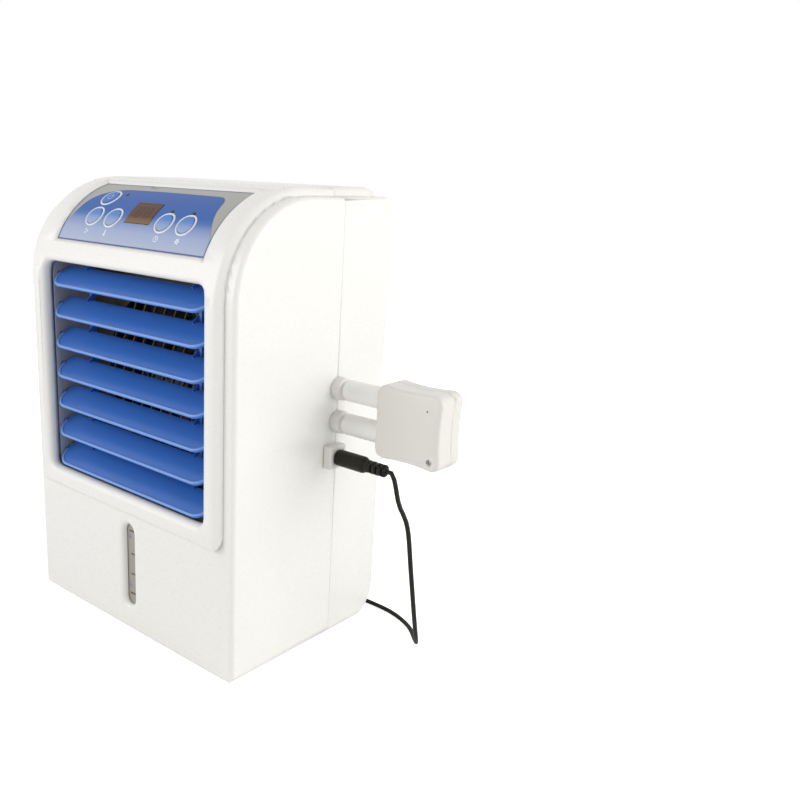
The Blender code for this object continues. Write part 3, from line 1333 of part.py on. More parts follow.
def build_lid():
    low = CROWN_TOP - LID_THICKNESS
    side = [(LID_FRONT, low), (LID_REAR, low), (LID_REAR, CROWN_TOP),
            (STRIP_CENTRE_Y, CROWN_TOP)]
    reach = STRIP_CENTRE_Y - LID_FRONT
    side.append((LID_FRONT, STRIP_CENTRE_Z + math.sqrt(STRIP_ARC ** 2 - reach ** 2)))
    lid = outline("top_lid", [side], "YZ", -LID_HALF, LID_HALF)
    keep(lid, outline("lid_view", [lid_outline(0)], "XY", low - OVERRUN, CROWN_TOP + OVERRUN))
    notch = box("lid_notch", (LID_HALF - NOTCH_WIDTH, LID_HALF + OVERRUN),
                (LID_FRONT + NOTCH_START, LID_FRONT + NOTCH_START + NOTCH_LENGTH),
                (low - OVERRUN, CROWN_TOP + OVERRUN))
    axis = (0, LID_REAR - LID_HINGE_BACK, CROWN_TOP - LID_HINGE_DROP)
    cut(lid, notch)
    pin_half = LID_HALF + LID_PIN_REACH
    join(lid, rod("lid_pin", (-pin_half, axis[1], axis[2]), (1, 0, 0), LID_PIN,
                  pin_half * 2, 8))
    set_origin(lid, axis)
    finish(lid, WHITE, 0.35)


def build_grille():
    low = GRILLE_BOTTOM
    high = GRILLE_TOP
    plate = round_box(-GRILLE_HALF, GRILLE_HALF, low, high, GRILLE_CORNER, 3)
    inner = GRILLE_HALF - GRILLE_RIM - MESH_THICKNESS * 2
    first = low + GRILLE_RIM + MESH_THICKNESS * 2
    span = high - low - (first - low) * 2
    slot = (span - GRILLE_SLATS * GRILLE_SLAT) / (GRILLE_SLATS + 1)
    loops = [plate]
    for index in range(GRILLE_SLATS + 1):
        bottom = first + index * (slot + GRILLE_SLAT)
        loops.append([(-inner, bottom), (inner, bottom), (inner, bottom + slot),
                      (-inner, bottom + slot)])
    grille = outline("rear_grille", loops, "XZ", BODY_DEPTH + GAP, REAR_FACE)
    wide = GRILLE_HALF - GRILLE_RIM
    ring = box("spigot", (-wide, wide), (BODY_DEPTH - GRILLE_SPIGOT, BODY_DEPTH + GAP * 2),
               (low + GRILLE_RIM, high - GRILLE_RIM))
    cut(ring, box("spigot_bore", (-inner, inner),
                  (BODY_DEPTH - GRILLE_SPIGOT - OVERRUN, BODY_DEPTH + OVERRUN),
                  (first, first + span)))
    join(grille, bake(ring))
    finish(grille, WHITE, 0.4)

    mesh = box("filter_mesh", (-inner + GAP, inner - GAP),
               (BODY_DEPTH - MESH_THICKNESS, BODY_DEPTH), (first + GAP, first + span - GAP))
    finish(mesh, (0.12, 0.12, 0.125), 0.8, 0.0, False)


def build_ion():
    left = GAP - INNER_HALF
    ion = box("ion_generator", (left, left + ION_WIDTH), (ION_Y, ION_Y + ION_DEPTH),
              (ION_Z, ION_Z + ION_HEIGHT))
    join(ion, rod("needle", (left + ION_WIDTH / 2, ION_Y + OVERRUN / 2, ION_Z + ION_HEIGHT / 2),
                  (0, -1, 0), ION_NEEDLE, ION_NEEDLE_LENGTH + OVERRUN / 2, 8, ION_NEEDLE / 3))
    finish(ion, (0.08, 0.08, 0.085), 0.5)


# Hose ports, return device and power
def build_ports():
    collar = COLLAR_LENGTH + GAP
    neck = collar + NECK_LENGTH
    tip = neck + NIPPLE_LENGTH
    chamfer = NIPPLE_RADIUS - NIPPLE_BORE
    profile = [(NIPPLE_BORE, tip), (NIPPLE_RADIUS - chamfer / 2, tip),
               (NIPPLE_RADIUS, tip - chamfer), (NIPPLE_RADIUS, neck), (NECK_RADIUS, neck),
               (NECK_RADIUS, collar), (COLLAR_RADIUS - chamfer / 2, collar),
               (COLLAR_RADIUS, collar - chamfer / 2), (COLLAR_RADIUS, GAP),
               (COLLAR_SEAT, GAP), (COLLAR_SEAT, -WALL), (NIPPLE_RADIUS, -WALL),
               (NIPPLE_RADIUS, -NIPPLE_INNER), (NIPPLE_BORE, -NIPPLE_INNER)]
    for name, z in (("port_upper", PORT_UPPER_Z), ("port_lower", PORT_UPPER_Z - PORT_PITCH)):
        port = turned(name, profile, (HALF_WIDTH, SEAM_Y, z), (1, 0, 0), 14)
        finish(port, (0.84, 0.83, 0.81), 0.4)


def device_outline(inset):
    """Front view of the return device: three sides are slightly hollow."""
    x0 = DEVICE_LEFT + inset
    x1 = DEVICE_RIGHT - inset
    z0 = DEVICE_Z - DEVICE_HALF_HEIGHT + inset
    z1 = DEVICE_Z + DEVICE_HALF_HEIGHT - inset
    r = DEVICE_CORNER - inset
    points = arc(x1 - r, z0 + r, r, r, -90, 0, 3)
    sag_share = (0.75, 1.0, 0.75)
    count = len(sag_share) + 1
    for i, share in enumerate(sag_share):
        along = (i + 1) / count
        points.append((x1 - DEVICE_HOLLOW * share, z0 + r + (z1 - z0 - 2 * r) * along))
    points += arc(x1 - r, z1 - r, r, r, 0, 90, 3)
    for i, share in enumerate(sag_share):
        along = (i + 1) / count
        points.append((x1 - r - (x1 - x0 - 2 * r) * along, z1 - DEVICE_HOLLOW * share))
    points += arc(x0 + r, z1 - r, r, r, 90, 180, 3)
    points += arc(x0 + r, z0 + r, r, r, 180, 270, 3)
    for i, share in enumerate(sag_share):
        along = (i + 1) / count
        points.append((x0 + r + (x1 - x0 - 2 * r) * along, z0 + DEVICE_HOLLOW * share))
    return points


def device_shell(name, front, rear, open_rear):
    near = front + DEVICE_WALL if open_rear else front - OVERRUN
    far = rear + OVERRUN if open_rear else rear - DEVICE_WALL
    rings = []
    for inset, depth in roll_steps(DEVICE_ROUND, 2):
        y = front + depth if open_rear else rear - depth
        rings.append([(x, y, z) for x, z in device_outline(inset)])
    end = rear if open_rear else front
    rings.append([(x, end, z) for x, z in device_outline(0)])
    body = loft(name, rings)
    cut(body, outline(name + "_hollow", [device_outline(DEVICE_WALL)], "XZ", near, far))
    return body


def build_device():
    rear = DEVICE_FRONT + DEVICE_DEPTH
    seam = DEVICE_FRONT + DEVICE_SEAM
    screw_x = DEVICE_RIGHT - SCREW_X
    screw_z = DEVICE_Z + SCREW_Z
    post = DEVICE_SCREW * 2
    front_shell = device_shell("device_front_shell", DEVICE_FRONT, seam - SEAM_GAP / 2, True)
    back_shell = device_shell("device_rear_shell", seam + SEAM_GAP / 2, rear, False)
    join(front_shell, rod("post", (screw_x, DEVICE_FRONT + DEVICE_WALL / 2, screw_z), (0, 1, 0),
                          post, DEVICE_SEAM - DEVICE_WALL / 2 - SEAM_GAP / 2, 12))
    join(back_shell, rod("post", (screw_x, seam + SEAM_GAP / 2, screw_z), (0, 1, 0),
                         post, DEVICE_DEPTH - DEVICE_SEAM - DEVICE_WALL / 2, 12))
    head = DEVICE_SCREW + GAP
    shank = DEVICE_SCREW / 2
    cut(front_shell, rod("head_bore", (screw_x, DEVICE_FRONT - OVERRUN, screw_z), (0, 1, 0),
                         head, OVERRUN + DEVICE_WALL * 2, 12))
    for shell, start in ((front_shell, DEVICE_FRONT), (back_shell, seam - OVERRUN)):
        cut(shell, rod("shank_bore", (screw_x, start, screw_z), (0, 1, 0), shank + GAP,
                       seam - DEVICE_FRONT + DEVICE_WALL * 2 if shell is front_shell
                       else OVERRUN + DEVICE_WALL * 3, 10))
    cut(front_shell, rod("pinhole", (DEVICE_RIGHT - PINHOLE_X, DEVICE_FRONT - OVERRUN,
                                     DEVICE_Z + PINHOLE_Z), (0, 1, 0), PINHOLE_RADIUS,
                         OVERRUN + DEVICE_WALL * 1.5, 8))
    heights = (PORT_UPPER_Z, PORT_UPPER_Z - PORT_PITCH)
    for shell in (front_shell, back_shell):
        for z in heights:
            cut(shell, rod("sleeve_hole", (DEVICE_LEFT - OVERRUN, SEAM_Y, z), (1, 0, 0),
                           NIPPLE_RADIUS, OVERRUN + DEVICE_WALL * 1.5, 12))
    finish(front_shell, (0.86, 0.855, 0.84), 0.35)
    finish(back_shell, (0.86, 0.855, 0.84), 0.35)

    screw_face_y = DEVICE_FRONT + DEVICE_WALL * 2 - GAP
    profile = [(0, DEVICE_SCREW), (DEVICE_SCREW * 0.9, DEVICE_SCREW),
               (DEVICE_SCREW, DEVICE_SCREW * 0.8), (DEVICE_SCREW, 0), (shank, 0),
               (shank, -DEVICE_SEAM), (0, -DEVICE_SEAM)]
    finish(turned("device_screw", profile, (screw_x, screw_face_y, screw_z), (0, -1, 0), 12),
           (0.42, 0.42, 0.44), 0.35, 1.0)

    start = HALF_WIDTH + COLLAR_LENGTH + GAP + NECK_LENGTH + GAP
    pitch = SLEEVE_LENGTH / SLEEVE_RIBS
    bore = NIPPLE_RADIUS + GAP
    profile = [(bore, SLEEVE_LENGTH)]
    for rib in range(SLEEVE_RIBS):
        top = SLEEVE_LENGTH - rib * pitch
        if rib == 0:
            profile.append((SLEEVE_RADIUS - SLEEVE_GROOVE, top))
        profile.append((SLEEVE_RADIUS, top - pitch / 2))
        profile.append((SLEEVE_RADIUS - SLEEVE_GROOVE, top - pitch))
    profile.append((bore, 0))
    for name, z in (("device_sleeve_upper", heights[0]), ("device_sleeve_lower", heights[1])):
        finish(turned(name, profile, (start, SEAM_Y, z), (1, 0, 0), 12),
               (0.85, 0.845, 0.83), 0.5)

    wall_x = DEVICE_LEFT + DEVICE_WALL + GAP
    bend_x = wall_x + DEVICE_WIDTH * 0.3
    points = [(wall_x, SEAM_Y, heights[0]), (bend_x - HOSE_RADIUS, SEAM_Y, heights[0])]
    for y, z in arc(0, 0, PORT_PITCH / 2, PORT_PITCH / 2, 90, -90, 8):
        points.append((bend_x + y, SEAM_Y, DEVICE_Z + z))
    points += [(bend_x - HOSE_RADIUS, SEAM_Y, heights[1]), (wall_x, SEAM_Y, heights[1])]
    body = tube("device_tube", points, HOSE_RADIUS, 1)
    inner = [(wall_x - OVERRUN, SEAM_Y, heights[0])] + points[1:-1]
    inner.append((wall_x - OVERRUN, SEAM_Y, heights[1]))
    cut(body, tube("device_tube_bore", inner, HOSE_BORE, 1))
    finish(body, (0.70, 0.72, 0.73), 0.4)


def build_power():
    half = SOCKET_SIZE / 2
    socket = box("dc_socket", (HALF_WIDTH + GAP, SOCKET_FACE), (SOCKET_Y - half, SOCKET_Y + half),
                 (SOCKET_Z - half, SOCKET_Z + half))
    bevel(socket, SOCKET_ROUND / 3, 2)
    inner = half - WALL / 2
    join(socket, box("socket_inner", (HALF_WIDTH - SOCKET_IN, HALF_WIDTH + SOCKET_OUT / 2),
                     (SOCKET_Y - inner, SOCKET_Y + inner), (SOCKET_Z - inner, SOCKET_Z + inner)))
    cut(socket, rod("socket_bore", (SOCKET_FACE + OVERRUN, SOCKET_Y, SOCKET_Z), (-1, 0, 0),
                    SOCKET_BORE, OVERRUN + PLUG_TIP_LENGTH + GAP * 2, 14))
    finish(socket, (0.85, 0.845, 0.83), 0.4)

    start = SOCKET_FACE + GAP
    barrel = PLUG_BARREL_LENGTH
    length = barrel + PLUG_RELIEF_LENGTH
    edge = PLUG_BARREL - PLUG_RELIEF
    profile = [(0, length), (PLUG_TAIL, length), (PLUG_RELIEF, length - edge),
               (PLUG_RELIEF, barrel), (PLUG_BARREL - edge / 2, barrel),
               (PLUG_BARREL, barrel - edge), (PLUG_BARREL, edge / 2),
               (PLUG_BARREL - edge / 2, 0), (PLUG_TIP, 0), (PLUG_TIP, -PLUG_TIP_LENGTH),
               (0, -PLUG_TIP_LENGTH)]
    plug = turned("dc_plug", profile, (start, SOCKET_Y, SOCKET_Z), (1, 0, 0), 12)
    slots = []
    step = PLUG_RELIEF_LENGTH / (RELIEF_SLOTS + 1)
    for index in range(RELIEF_SLOTS):
        x = start + barrel + step * (index + 1) - RELIEF_SLOT / 2
        for side in (-1, 1):
            near = side * RELIEF_WEB / 2 * 1.6
            far = side * (PLUG_RELIEF + OVERRUN)
            lo, hi = sorted((near, far))
            slots.append(box("slot", (x, x + RELIEF_SLOT),
                             (SOCKET_Y - PLUG_RELIEF * 0.62, SOCKET_Y + PLUG_RELIEF * 0.62),
                             (SOCKET_Z + lo, SOCKET_Z + hi)))
            slots.append(box("slot", (x + step / 2, x + step / 2 + RELIEF_SLOT),
                             (SOCKET_Y + lo, SOCKET_Y + hi),
                             (SOCKET_Z - PLUG_RELIEF * 0.62, SOCKET_Z + PLUG_RELIEF * 0.62)))
    cut(plug, group("relief_slots", slots))
    finish(plug, (0.015, 0.015, 0.016), 0.45)
    return start + length


# Cord: free stretch, coil with its tie, and the adaptor
def coil_points():
    """Two layers: the cord winds in, climbs in the middle and winds out again."""
    outer = COIL_RADIUS + COIL_STEP * COIL_TURNS / 2
    low = CORD_RADIUS + COIL_RAISE
    steps = 24 * COIL_TURNS
    points = []
    for i in range(-steps, steps + 1):
        turn = i / 24
        radius = outer - COIL_STEP * (COIL_TURNS - abs(turn))
        climb = min(max(turn + 0.25, 0), 0.5) / 0.5
        angle = -math.pi / 2 - 2 * math.pi * turn
        points.append(Vector((COIL_X + radius * math.cos(angle),
                              COIL_Y + radius * math.sin(angle), low + COIL_LAYER * climb)))
    return points


def least_gap(points):
    """Least distance between parts of the coil that aren't next to each other."""
    least = COIL_RADIUS
    for i, p in enumerate(points):
        for q in points[i + 12:]:
            least = min(least, (p - q).length)
    return least - 2 * CORD_RADIUS


def path_length(points):
    return sum((q - p).length for p, q in zip(points, points[1:]))


def build_cord(plug_end):
    loops = coil_points()
    lead = CORD_RADIUS * 2
    adaptor_face = ADAPTOR_X + ADAPTOR_LENGTH
    start = loops[0] + Vector((lead, 0, 0))
    finish_point = Vector((adaptor_face + GAP, loops[-1].y, loops[-1].z))
    coil_path = [start] + loops + [finish_point]
    coil = tube("cord_coil", coil_path, CORD_RADIUS, 1)
    finish(coil, (0.015, 0.015, 0.016), 0.5)

    route = [(plug_end + GAP, SOCKET_Y, SOCKET_Z),
             (plug_end + GAP + lead, SOCKET_Y, SOCKET_Z)] + list(CORD_ROUTE)
    route += [(start.x + lead * 4, start.y, start.z), (start.x + lead * 2, start.y, start.z),
              (start.x + GAP, start.y, start.z)]
    free = routed_path(route, CORD_RADIUS * 6)
    cord = tube("dc_cord", free, CORD_RADIUS, 2)
    finish(cord, (0.015, 0.015, 0.016), 0.5)
    print("least gap in the coil, m:", round(least_gap(loops), 5))
    print("cord length, m:", round(path_length(free) + path_length(coil_path), 4))

    outer = COIL_RADIUS + COIL_STEP * COIL_TURNS / 2 + CORD_RADIUS + GAP
    inner_reach = COIL_RADIUS - COIL_STEP * COIL_TURNS / 2
    inner = math.sqrt(inner_reach ** 2 - (TIE_WIDTH / 2) ** 2) - CORD_RADIUS - GAP
    low = COIL_RAISE - GAP
    high = COIL_RAISE + CORD_RADIUS * 2 + COIL_LAYER + GAP
    window = [(COIL_Y + inner, low), (COIL_Y + outer, low), (COIL_Y + outer, high),
              (COIL_Y + inner, high)]
    band = TIE_BAND
    edge = [(COIL_Y + inner - band, low - band), (COIL_Y + outer + band, low - band),
            (COIL_Y + outer + band, high + band), (COIL_Y + inner - band, high + band)]
    tie = outline("coil_tie", [edge, window], "YZ", COIL_X - TIE_WIDTH / 2,
                  COIL_X + TIE_WIDTH / 2)
    finish(tie, (0.02, 0.02, 0.022), 0.7, 0.0, False)

    adaptor = box("power_adaptor", (ADAPTOR_X, adaptor_face),
                  (ADAPTOR_Y, ADAPTOR_Y + ADAPTOR_DEPTH), (0, ADAPTOR_HEIGHT))
    bevel(adaptor, ADAPTOR_ROUND, 2)
    finish(adaptor, (0.02, 0.02, 0.022), 0.45)
    middle = ADAPTOR_Y + ADAPTOR_DEPTH / 2
    level = ADAPTOR_HEIGHT / 2
    head = box("adaptor_pins", (ADAPTOR_X - GAP - HEAD_THICKNESS, ADAPTOR_X - GAP),
               (middle - PRONG_PITCH, middle + PRONG_PITCH),
               (level - PRONG_WIDTH, level + PRONG_WIDTH))
    for side in (-1, 1):
        y = middle + side * PRONG_PITCH / 2
        join(head, box("pin", (ADAPTOR_X - PRONG_LENGTH - HEAD_THICKNESS, ADAPTOR_X - GAP * 2),
                       (y - PRONG_THICKNESS / 2, y + PRONG_THICKNESS / 2),
                       (level - PRONG_WIDTH / 2, level + PRONG_WIDTH / 2)))
    finish(head, (0.75, 0.72, 0.65), 0.3, 1.0, False)


# Free route of the cord, from the plug down to the surface and round to the coil
CORD_ROUTE = (
    (0.1525, 0.0841, 0.1280),
    (0.1560, 0.0850, 0.1140),
    (0.1620, 0.0870, 0.1000),
    (0.1640, 0.0910, 0.0700),
    (0.1630, 0.0990, 0.0380),
    (0.1580, 0.1110, 0.0130),
    (0.1480, 0.1250, 0.0030),
    (0.1320, 0.1390, 0.0020),
    (0.1100, 0.1468, 0.0020),
    (0.0800, 0.1470, 0.0024),
)

build_casing()
build_feet_and_screws()
build_panel()
build_louvre()
build_fan()
build_water()
build_window()
build_lid()
build_grille()
build_ion()
build_ports()
build_device()
build_cord(build_power())
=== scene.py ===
# %% [markdown]
# A desktop cooling-fan host with its water return device.
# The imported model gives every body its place, and this lesson dresses it: it lays the cord, rounds the
# edges that catch the light, prints the panel and gives each plastic, rubber and metal its finish.

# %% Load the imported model
import json
import math

import bmesh
import bpy
from mathutils import Matrix, Vector

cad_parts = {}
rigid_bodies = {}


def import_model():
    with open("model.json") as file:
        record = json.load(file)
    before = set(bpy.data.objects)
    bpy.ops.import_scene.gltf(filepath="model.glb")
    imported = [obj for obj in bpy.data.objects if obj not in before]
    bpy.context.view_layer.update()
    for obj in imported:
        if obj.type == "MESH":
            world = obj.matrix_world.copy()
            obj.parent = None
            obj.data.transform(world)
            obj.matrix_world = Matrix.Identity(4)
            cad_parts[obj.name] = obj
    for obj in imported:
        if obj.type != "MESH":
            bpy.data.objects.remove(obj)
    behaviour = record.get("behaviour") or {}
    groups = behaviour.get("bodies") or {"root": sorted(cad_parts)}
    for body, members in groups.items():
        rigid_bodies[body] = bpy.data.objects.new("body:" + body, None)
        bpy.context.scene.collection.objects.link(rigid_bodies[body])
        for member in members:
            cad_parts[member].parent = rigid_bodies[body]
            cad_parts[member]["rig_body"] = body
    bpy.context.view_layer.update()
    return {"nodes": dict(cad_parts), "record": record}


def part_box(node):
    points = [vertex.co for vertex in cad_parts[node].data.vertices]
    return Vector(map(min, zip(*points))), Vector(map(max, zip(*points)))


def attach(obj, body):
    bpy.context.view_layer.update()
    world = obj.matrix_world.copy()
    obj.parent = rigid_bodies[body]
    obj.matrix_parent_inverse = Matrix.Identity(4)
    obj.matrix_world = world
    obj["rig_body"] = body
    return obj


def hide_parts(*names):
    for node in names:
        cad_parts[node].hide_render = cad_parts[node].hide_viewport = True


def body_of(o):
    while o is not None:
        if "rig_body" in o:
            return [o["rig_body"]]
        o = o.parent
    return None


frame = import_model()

# %% [markdown]
# The casing is easiest to think of in its own frame: X from its middle, Y back from the plane of its
# front ledge, Z up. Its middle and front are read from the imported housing, whose raised strip stands
# 5.4 mm ahead of the ledge.

# %% The casing's own frame
STRIP_RISE = 0.0054
housing_low, housing_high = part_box("front_housing")
HOUSING_X = (housing_low[0] + housing_high[0]) / 2
HOUSING_Y = housing_low[1] + STRIP_RISE


def at(x, y, z):
    """A point of the casing's own frame, in the model's frame."""
    return Vector((HOUSING_X + x, HOUSING_Y + y, z))


print("housing middle and front, m:", round(HOUSING_X, 4), round(HOUSING_Y, 4))

# %% [markdown]
# The camera's place, lens, shift and roll were solved from the casing's edges in the photograph. It
# stands at the front right, just above the casing. The lens that fits is about 40 mm on a 36 mm frame,
# which says nothing sure about the real one, because the picture may be a crop.

# %% Camera
CAMERA_PLACE = at(0.4473, -0.3278, 0.3076)
CAMERA_TARGET = at(0.0, 0.1954, 0.1203)
CAMERA_ROLL = math.radians(2.1912)
camera_data = bpy.data.cameras.new("camera")
camera = bpy.data.objects.new("camera", camera_data)
bpy.context.scene.collection.objects.link(camera)
camera_data.sensor_width = 36
camera_data.lens = 39.863
camera_data.shift_x = 0.09375
camera_data.shift_y = 0.01375
camera_data.clip_start = 0.01
view_line = CAMERA_TARGET - CAMERA_PLACE
camera.location = CAMERA_PLACE
camera.rotation_mode = "QUATERNION"
turn = view_line.to_track_quat("-Z", "Y").to_matrix() @ Matrix.Rotation(CAMERA_ROLL, 3, "Z")
camera.rotation_quaternion = turn.to_quaternion()
bpy.context.scene.camera = camera
bpy.context.scene.view_settings.view_transform = "Standard"
print("camera is", round(view_line.length, 3), "m from the casing's middle line")

# %% [markdown]
# Every material is a small node tree. One function adds a node with its settings and links, and one
# turns the hex colour that a picture editor shows into the linear numbers that the shader works with.

# %% Helpers for materials


def srgb(code):
    """Linear colour from an sRGB hex value such as #2c5baf."""
    parts = [int(code[i:i + 2], 16) / 255 for i in (1, 3, 5)]
    return tuple(c / 12.92 if c <= 0.04045 else ((c + 0.055) / 1.055) ** 2.4
                 for c in parts) + (1.0,)


def add_node(tree, kind, inputs=(), **settings):
    """Adds a node, sets its properties, then its inputs: a socket is linked, a value is typed in."""
    node = tree.nodes.new(kind)
    for name, value in settings.items():
        setattr(node, name, value)
    for name, value in dict(inputs).items():
        if isinstance(value, bpy.types.NodeSocket):
            tree.links.new(value, node.inputs[name])
        else:
            node.inputs[name].default_value = value
    return node


def new_material(name, roughness, inputs=()):
    """A material whose Principled shader has its plain values set, and its tree."""
    material = bpy.data.materials.new(name)
    material.use_nodes = True
    tree = material.node_tree
    shader = tree.nodes["Principled BSDF"]
    shader.inputs["Roughness"].default_value = roughness
    for socket, value in dict(inputs).items():
        shader.inputs[socket].default_value = value
    return material, tree, shader


DRIFT = 160
# Places of the colour sockets on a Mix node
MIX_A = 6
MIX_B = 7
MIX_RESULT = 2


def moulded(name, colour, deep, roughness, grain, relief, inputs=()):
    """Moulded plastic or rubber: a soft drift between two colours, and a fine sparked grain.

    grain is the grain's size in millimetres, relief its height in millimetres. DRIFT is the size
    of the drift's clouds in millimetres."""
    material, tree, shader = new_material(name, roughness, inputs)
    place = add_node(tree, "ShaderNodeTexCoord").outputs["Object"]
    drift = add_node(tree, "ShaderNodeTexNoise", {"Vector": place, "Scale": 1000 / DRIFT, "Detail": 0.0})
    tone = add_node(tree, "ShaderNodeMix", {"Factor": drift.outputs["Fac"]}, data_type="RGBA")
    tone.inputs[MIX_A].default_value = srgb(colour)
    tone.inputs[MIX_B].default_value = srgb(deep)
    tree.links.new(tone.outputs[MIX_RESULT], shader.inputs["Base Color"])
    fine = add_node(tree, "ShaderNodeTexNoise",
                    {"Vector": place, "Scale": 1000 / grain, "Detail": 2.0, "Roughness": 0.6})
    gloss = add_node(tree, "ShaderNodeMapRange",
                     {"Value": fine.outputs["Fac"], "To Min": roughness * 0.9,
                      "To Max": roughness * 1.1})
    tree.links.new(gloss.outputs["Result"], shader.inputs["Roughness"])
    bump = add_node(tree, "ShaderNodeBump",
                    {"Height": fine.outputs["Fac"], "Strength": 0.35, "Distance": relief / 1000})
    tree.links.new(bump.outputs["Normal"], shader.inputs["Normal"])
    return material


print("white as the shader sees it:", [round(c, 3) for c in srgb("#eceae5")])

# %% [markdown]
# The shells are injection-moulded ABS, polished in the mould: nearly white, a little warm, with a soft
# gloss from IOR 1.53. The grain is drawn at 0.8 mm, coarser than the real one, so that it shows at all.

# %% Plastics of the casing
white_abs = moulded("polished_white_abs", "#eeece8", "#ecebe6", 0.28, 0.8, 0.002, {"IOR": 1.53})
satin_abs = moulded("satin_white_abs", "#eae8e3", "#e6e4de", 0.45, 0.6, 0.010, {"IOR": 1.53})
device_abs = moulded("return_device_white_abs", "#e0ddd6", "#dddad3", 0.32, 0.7, 0.003, {"IOR": 1.53})
silicone_white = moulded("moulded_white_silicone", "#fbfaf6", "#f6f5f0", 0.55, 0.4, 0.010,
                         {"IOR": 1.41, "Subsurface Weight": 0.15, "Subsurface Scale": 0.002})
milky_hose = moulded("milky_silicone_hose", "#cfd4d6", "#c3c9cb", 0.35, 0.5, 0.006,
                     {"IOR": 1.41, "Transmission Weight": 0.35})
tank_pp = moulded("translucent_polypropylene", "#d3dade", "#c8d0d5", 0.38, 0.8, 0.010,
                  {"IOR": 1.49, "Transmission Weight": 0.3})
blue_pp = moulded("satin_blue_polypropylene", "#3b72c8", "#356bc0", 0.34, 0.6, 0.008, {"IOR": 1.49})
grey_abs = moulded("satin_grey_abs", "#a9abb2", "#9fa1a8", 0.5, 0.6, 0.010, {"IOR": 1.53})
guard_abs = moulded("brown_grey_abs", "#3d3217", "#352b13", 0.5, 0.6, 0.010, {"IOR": 1.53})
black_pbt = moulded("moulded_black_pbt", "#222223", "#1b1b1c", 0.45, 0.5, 0.012, {"IOR": 1.55})
black_pvc = moulded("soft_black_pvc", "#18150b", "#131008", 0.5, 0.4, 0.008, {"IOR": 1.36})
black_rubber = moulded("black_nitrile_rubber", "#232324", "#1c1c1d", 0.7, 0.5, 0.02, {"IOR": 1.52})
green_mask = moulded("green_solder_mask", "#1f6b34", "#195c2c", 0.35, 1.2, 0.01, {"IOR": 1.5})
print("plastics:", len(bpy.data.materials))

# %% [markdown]
# Metal parts are small: zinc-plated steel for the screws and the motor can, and nickel on the adaptor's
# prongs. A metal keeps the default IOR, and a stretched noise gives the turned or drawn marks.

# %% Metals


def drawn_metal(name, colour, roughness, marks):
    """Plated metal with fine lines. marks is the spacing of the lines in millimetres."""
    material, tree, shader = new_material(name, roughness, {"Metallic": 1.0})
    shader.inputs["Base Color"].default_value = srgb(colour)
    place = add_node(tree, "ShaderNodeTexCoord").outputs["Object"]
    stretched = add_node(tree, "ShaderNodeMapping", {"Vector": place, "Scale": (1.0, 0.08, 1.0)})
    lines = add_node(tree, "ShaderNodeTexNoise",
                     {"Vector": stretched.outputs["Vector"], "Scale": 1000 / marks, "Detail": 2.0})
    gloss = add_node(tree, "ShaderNodeMapRange",
                     {"Value": lines.outputs["Fac"], "To Min": roughness * 0.8,
                      "To Max": roughness * 1.25})
    tree.links.new(gloss.outputs["Result"], shader.inputs["Roughness"])
    bump = add_node(tree, "ShaderNodeBump",
                    {"Height": lines.outputs["Fac"], "Strength": 0.3, "Distance": 0.00001})
    tree.links.new(bump.outputs["Normal"], shader.inputs["Normal"])
    return material


zinc_steel = drawn_metal("zinc_plated_steel", "#b9b9bb", 0.32, 0.4)
nickel = drawn_metal("nickel_plated_brass", "#c9c4b6", 0.25, 0.5)
print("metals:", zinc_steel.name, nickel.name)

# %% [markdown]
# The panel's film, keys and display share one look: their colour changes round the panel's arc, deep
# above and pale below a soft step. The pale part is a painted reflection over the print. Its angle comes
# from the object's own coordinates, so the print and the painted reflection stay on the film from every
# side.

# %% Prints, lenses and a painted reflection
ARC_Y = 0.0626
ARC_Z = 0.2299


def arc_print_and_reflection(name, stops, roughness):
    """Printed film or lens whose colour follows the arc, pale below a step as a painted reflection.
    stops are pairs of degrees and colour.
    """
    material, tree, shader = new_material(name, roughness, {"IOR": 1.33})
    place = add_node(tree, "ShaderNodeTexCoord").outputs["Object"]
    axes = add_node(tree, "ShaderNodeSeparateXYZ", {"Vector": place})
    up = add_node(tree, "ShaderNodeMath", {0: axes.outputs["Z"], 1: ARC_Z}, operation="SUBTRACT")
    ahead = add_node(tree, "ShaderNodeMath", {0: HOUSING_Y + ARC_Y, 1: axes.outputs["Y"]},
                     operation="SUBTRACT")
    turn = add_node(tree, "ShaderNodeMath", {0: up.outputs["Value"], 1: ahead.outputs["Value"]},
                    operation="ARCTAN2")
    first = math.radians(stops[0][0])
    last = math.radians(stops[-1][0])
    share = add_node(tree, "ShaderNodeMapRange",
                     {"Value": turn.outputs["Value"], "From Min": first, "From Max": last})
    ramp = add_node(tree, "ShaderNodeValToRGB", {"Fac": share.outputs["Result"]})
    elements = ramp.color_ramp.elements
    while len(elements) < len(stops):
        elements.new(0.5)
    for element, (phi, colour) in zip(elements, stops):
        element.position = (math.radians(phi) - first) / (last - first)
        element.color = srgb(colour)
    speckle = add_node(tree, "ShaderNodeTexNoise", {"Vector": place, "Scale": 2500.0, "Detail": 1.0})
    depth = add_node(tree, "ShaderNodeMapRange",
                     {"Value": speckle.outputs["Fac"], "To Min": 0.94, "To Max": 1.06})
    tint = add_node(tree, "ShaderNodeHueSaturation",
                    {"Color": ramp.outputs["Color"], "Value": depth.outputs["Result"]})
    tree.links.new(tint.outputs["Color"], shader.inputs["Base Color"])
    return material
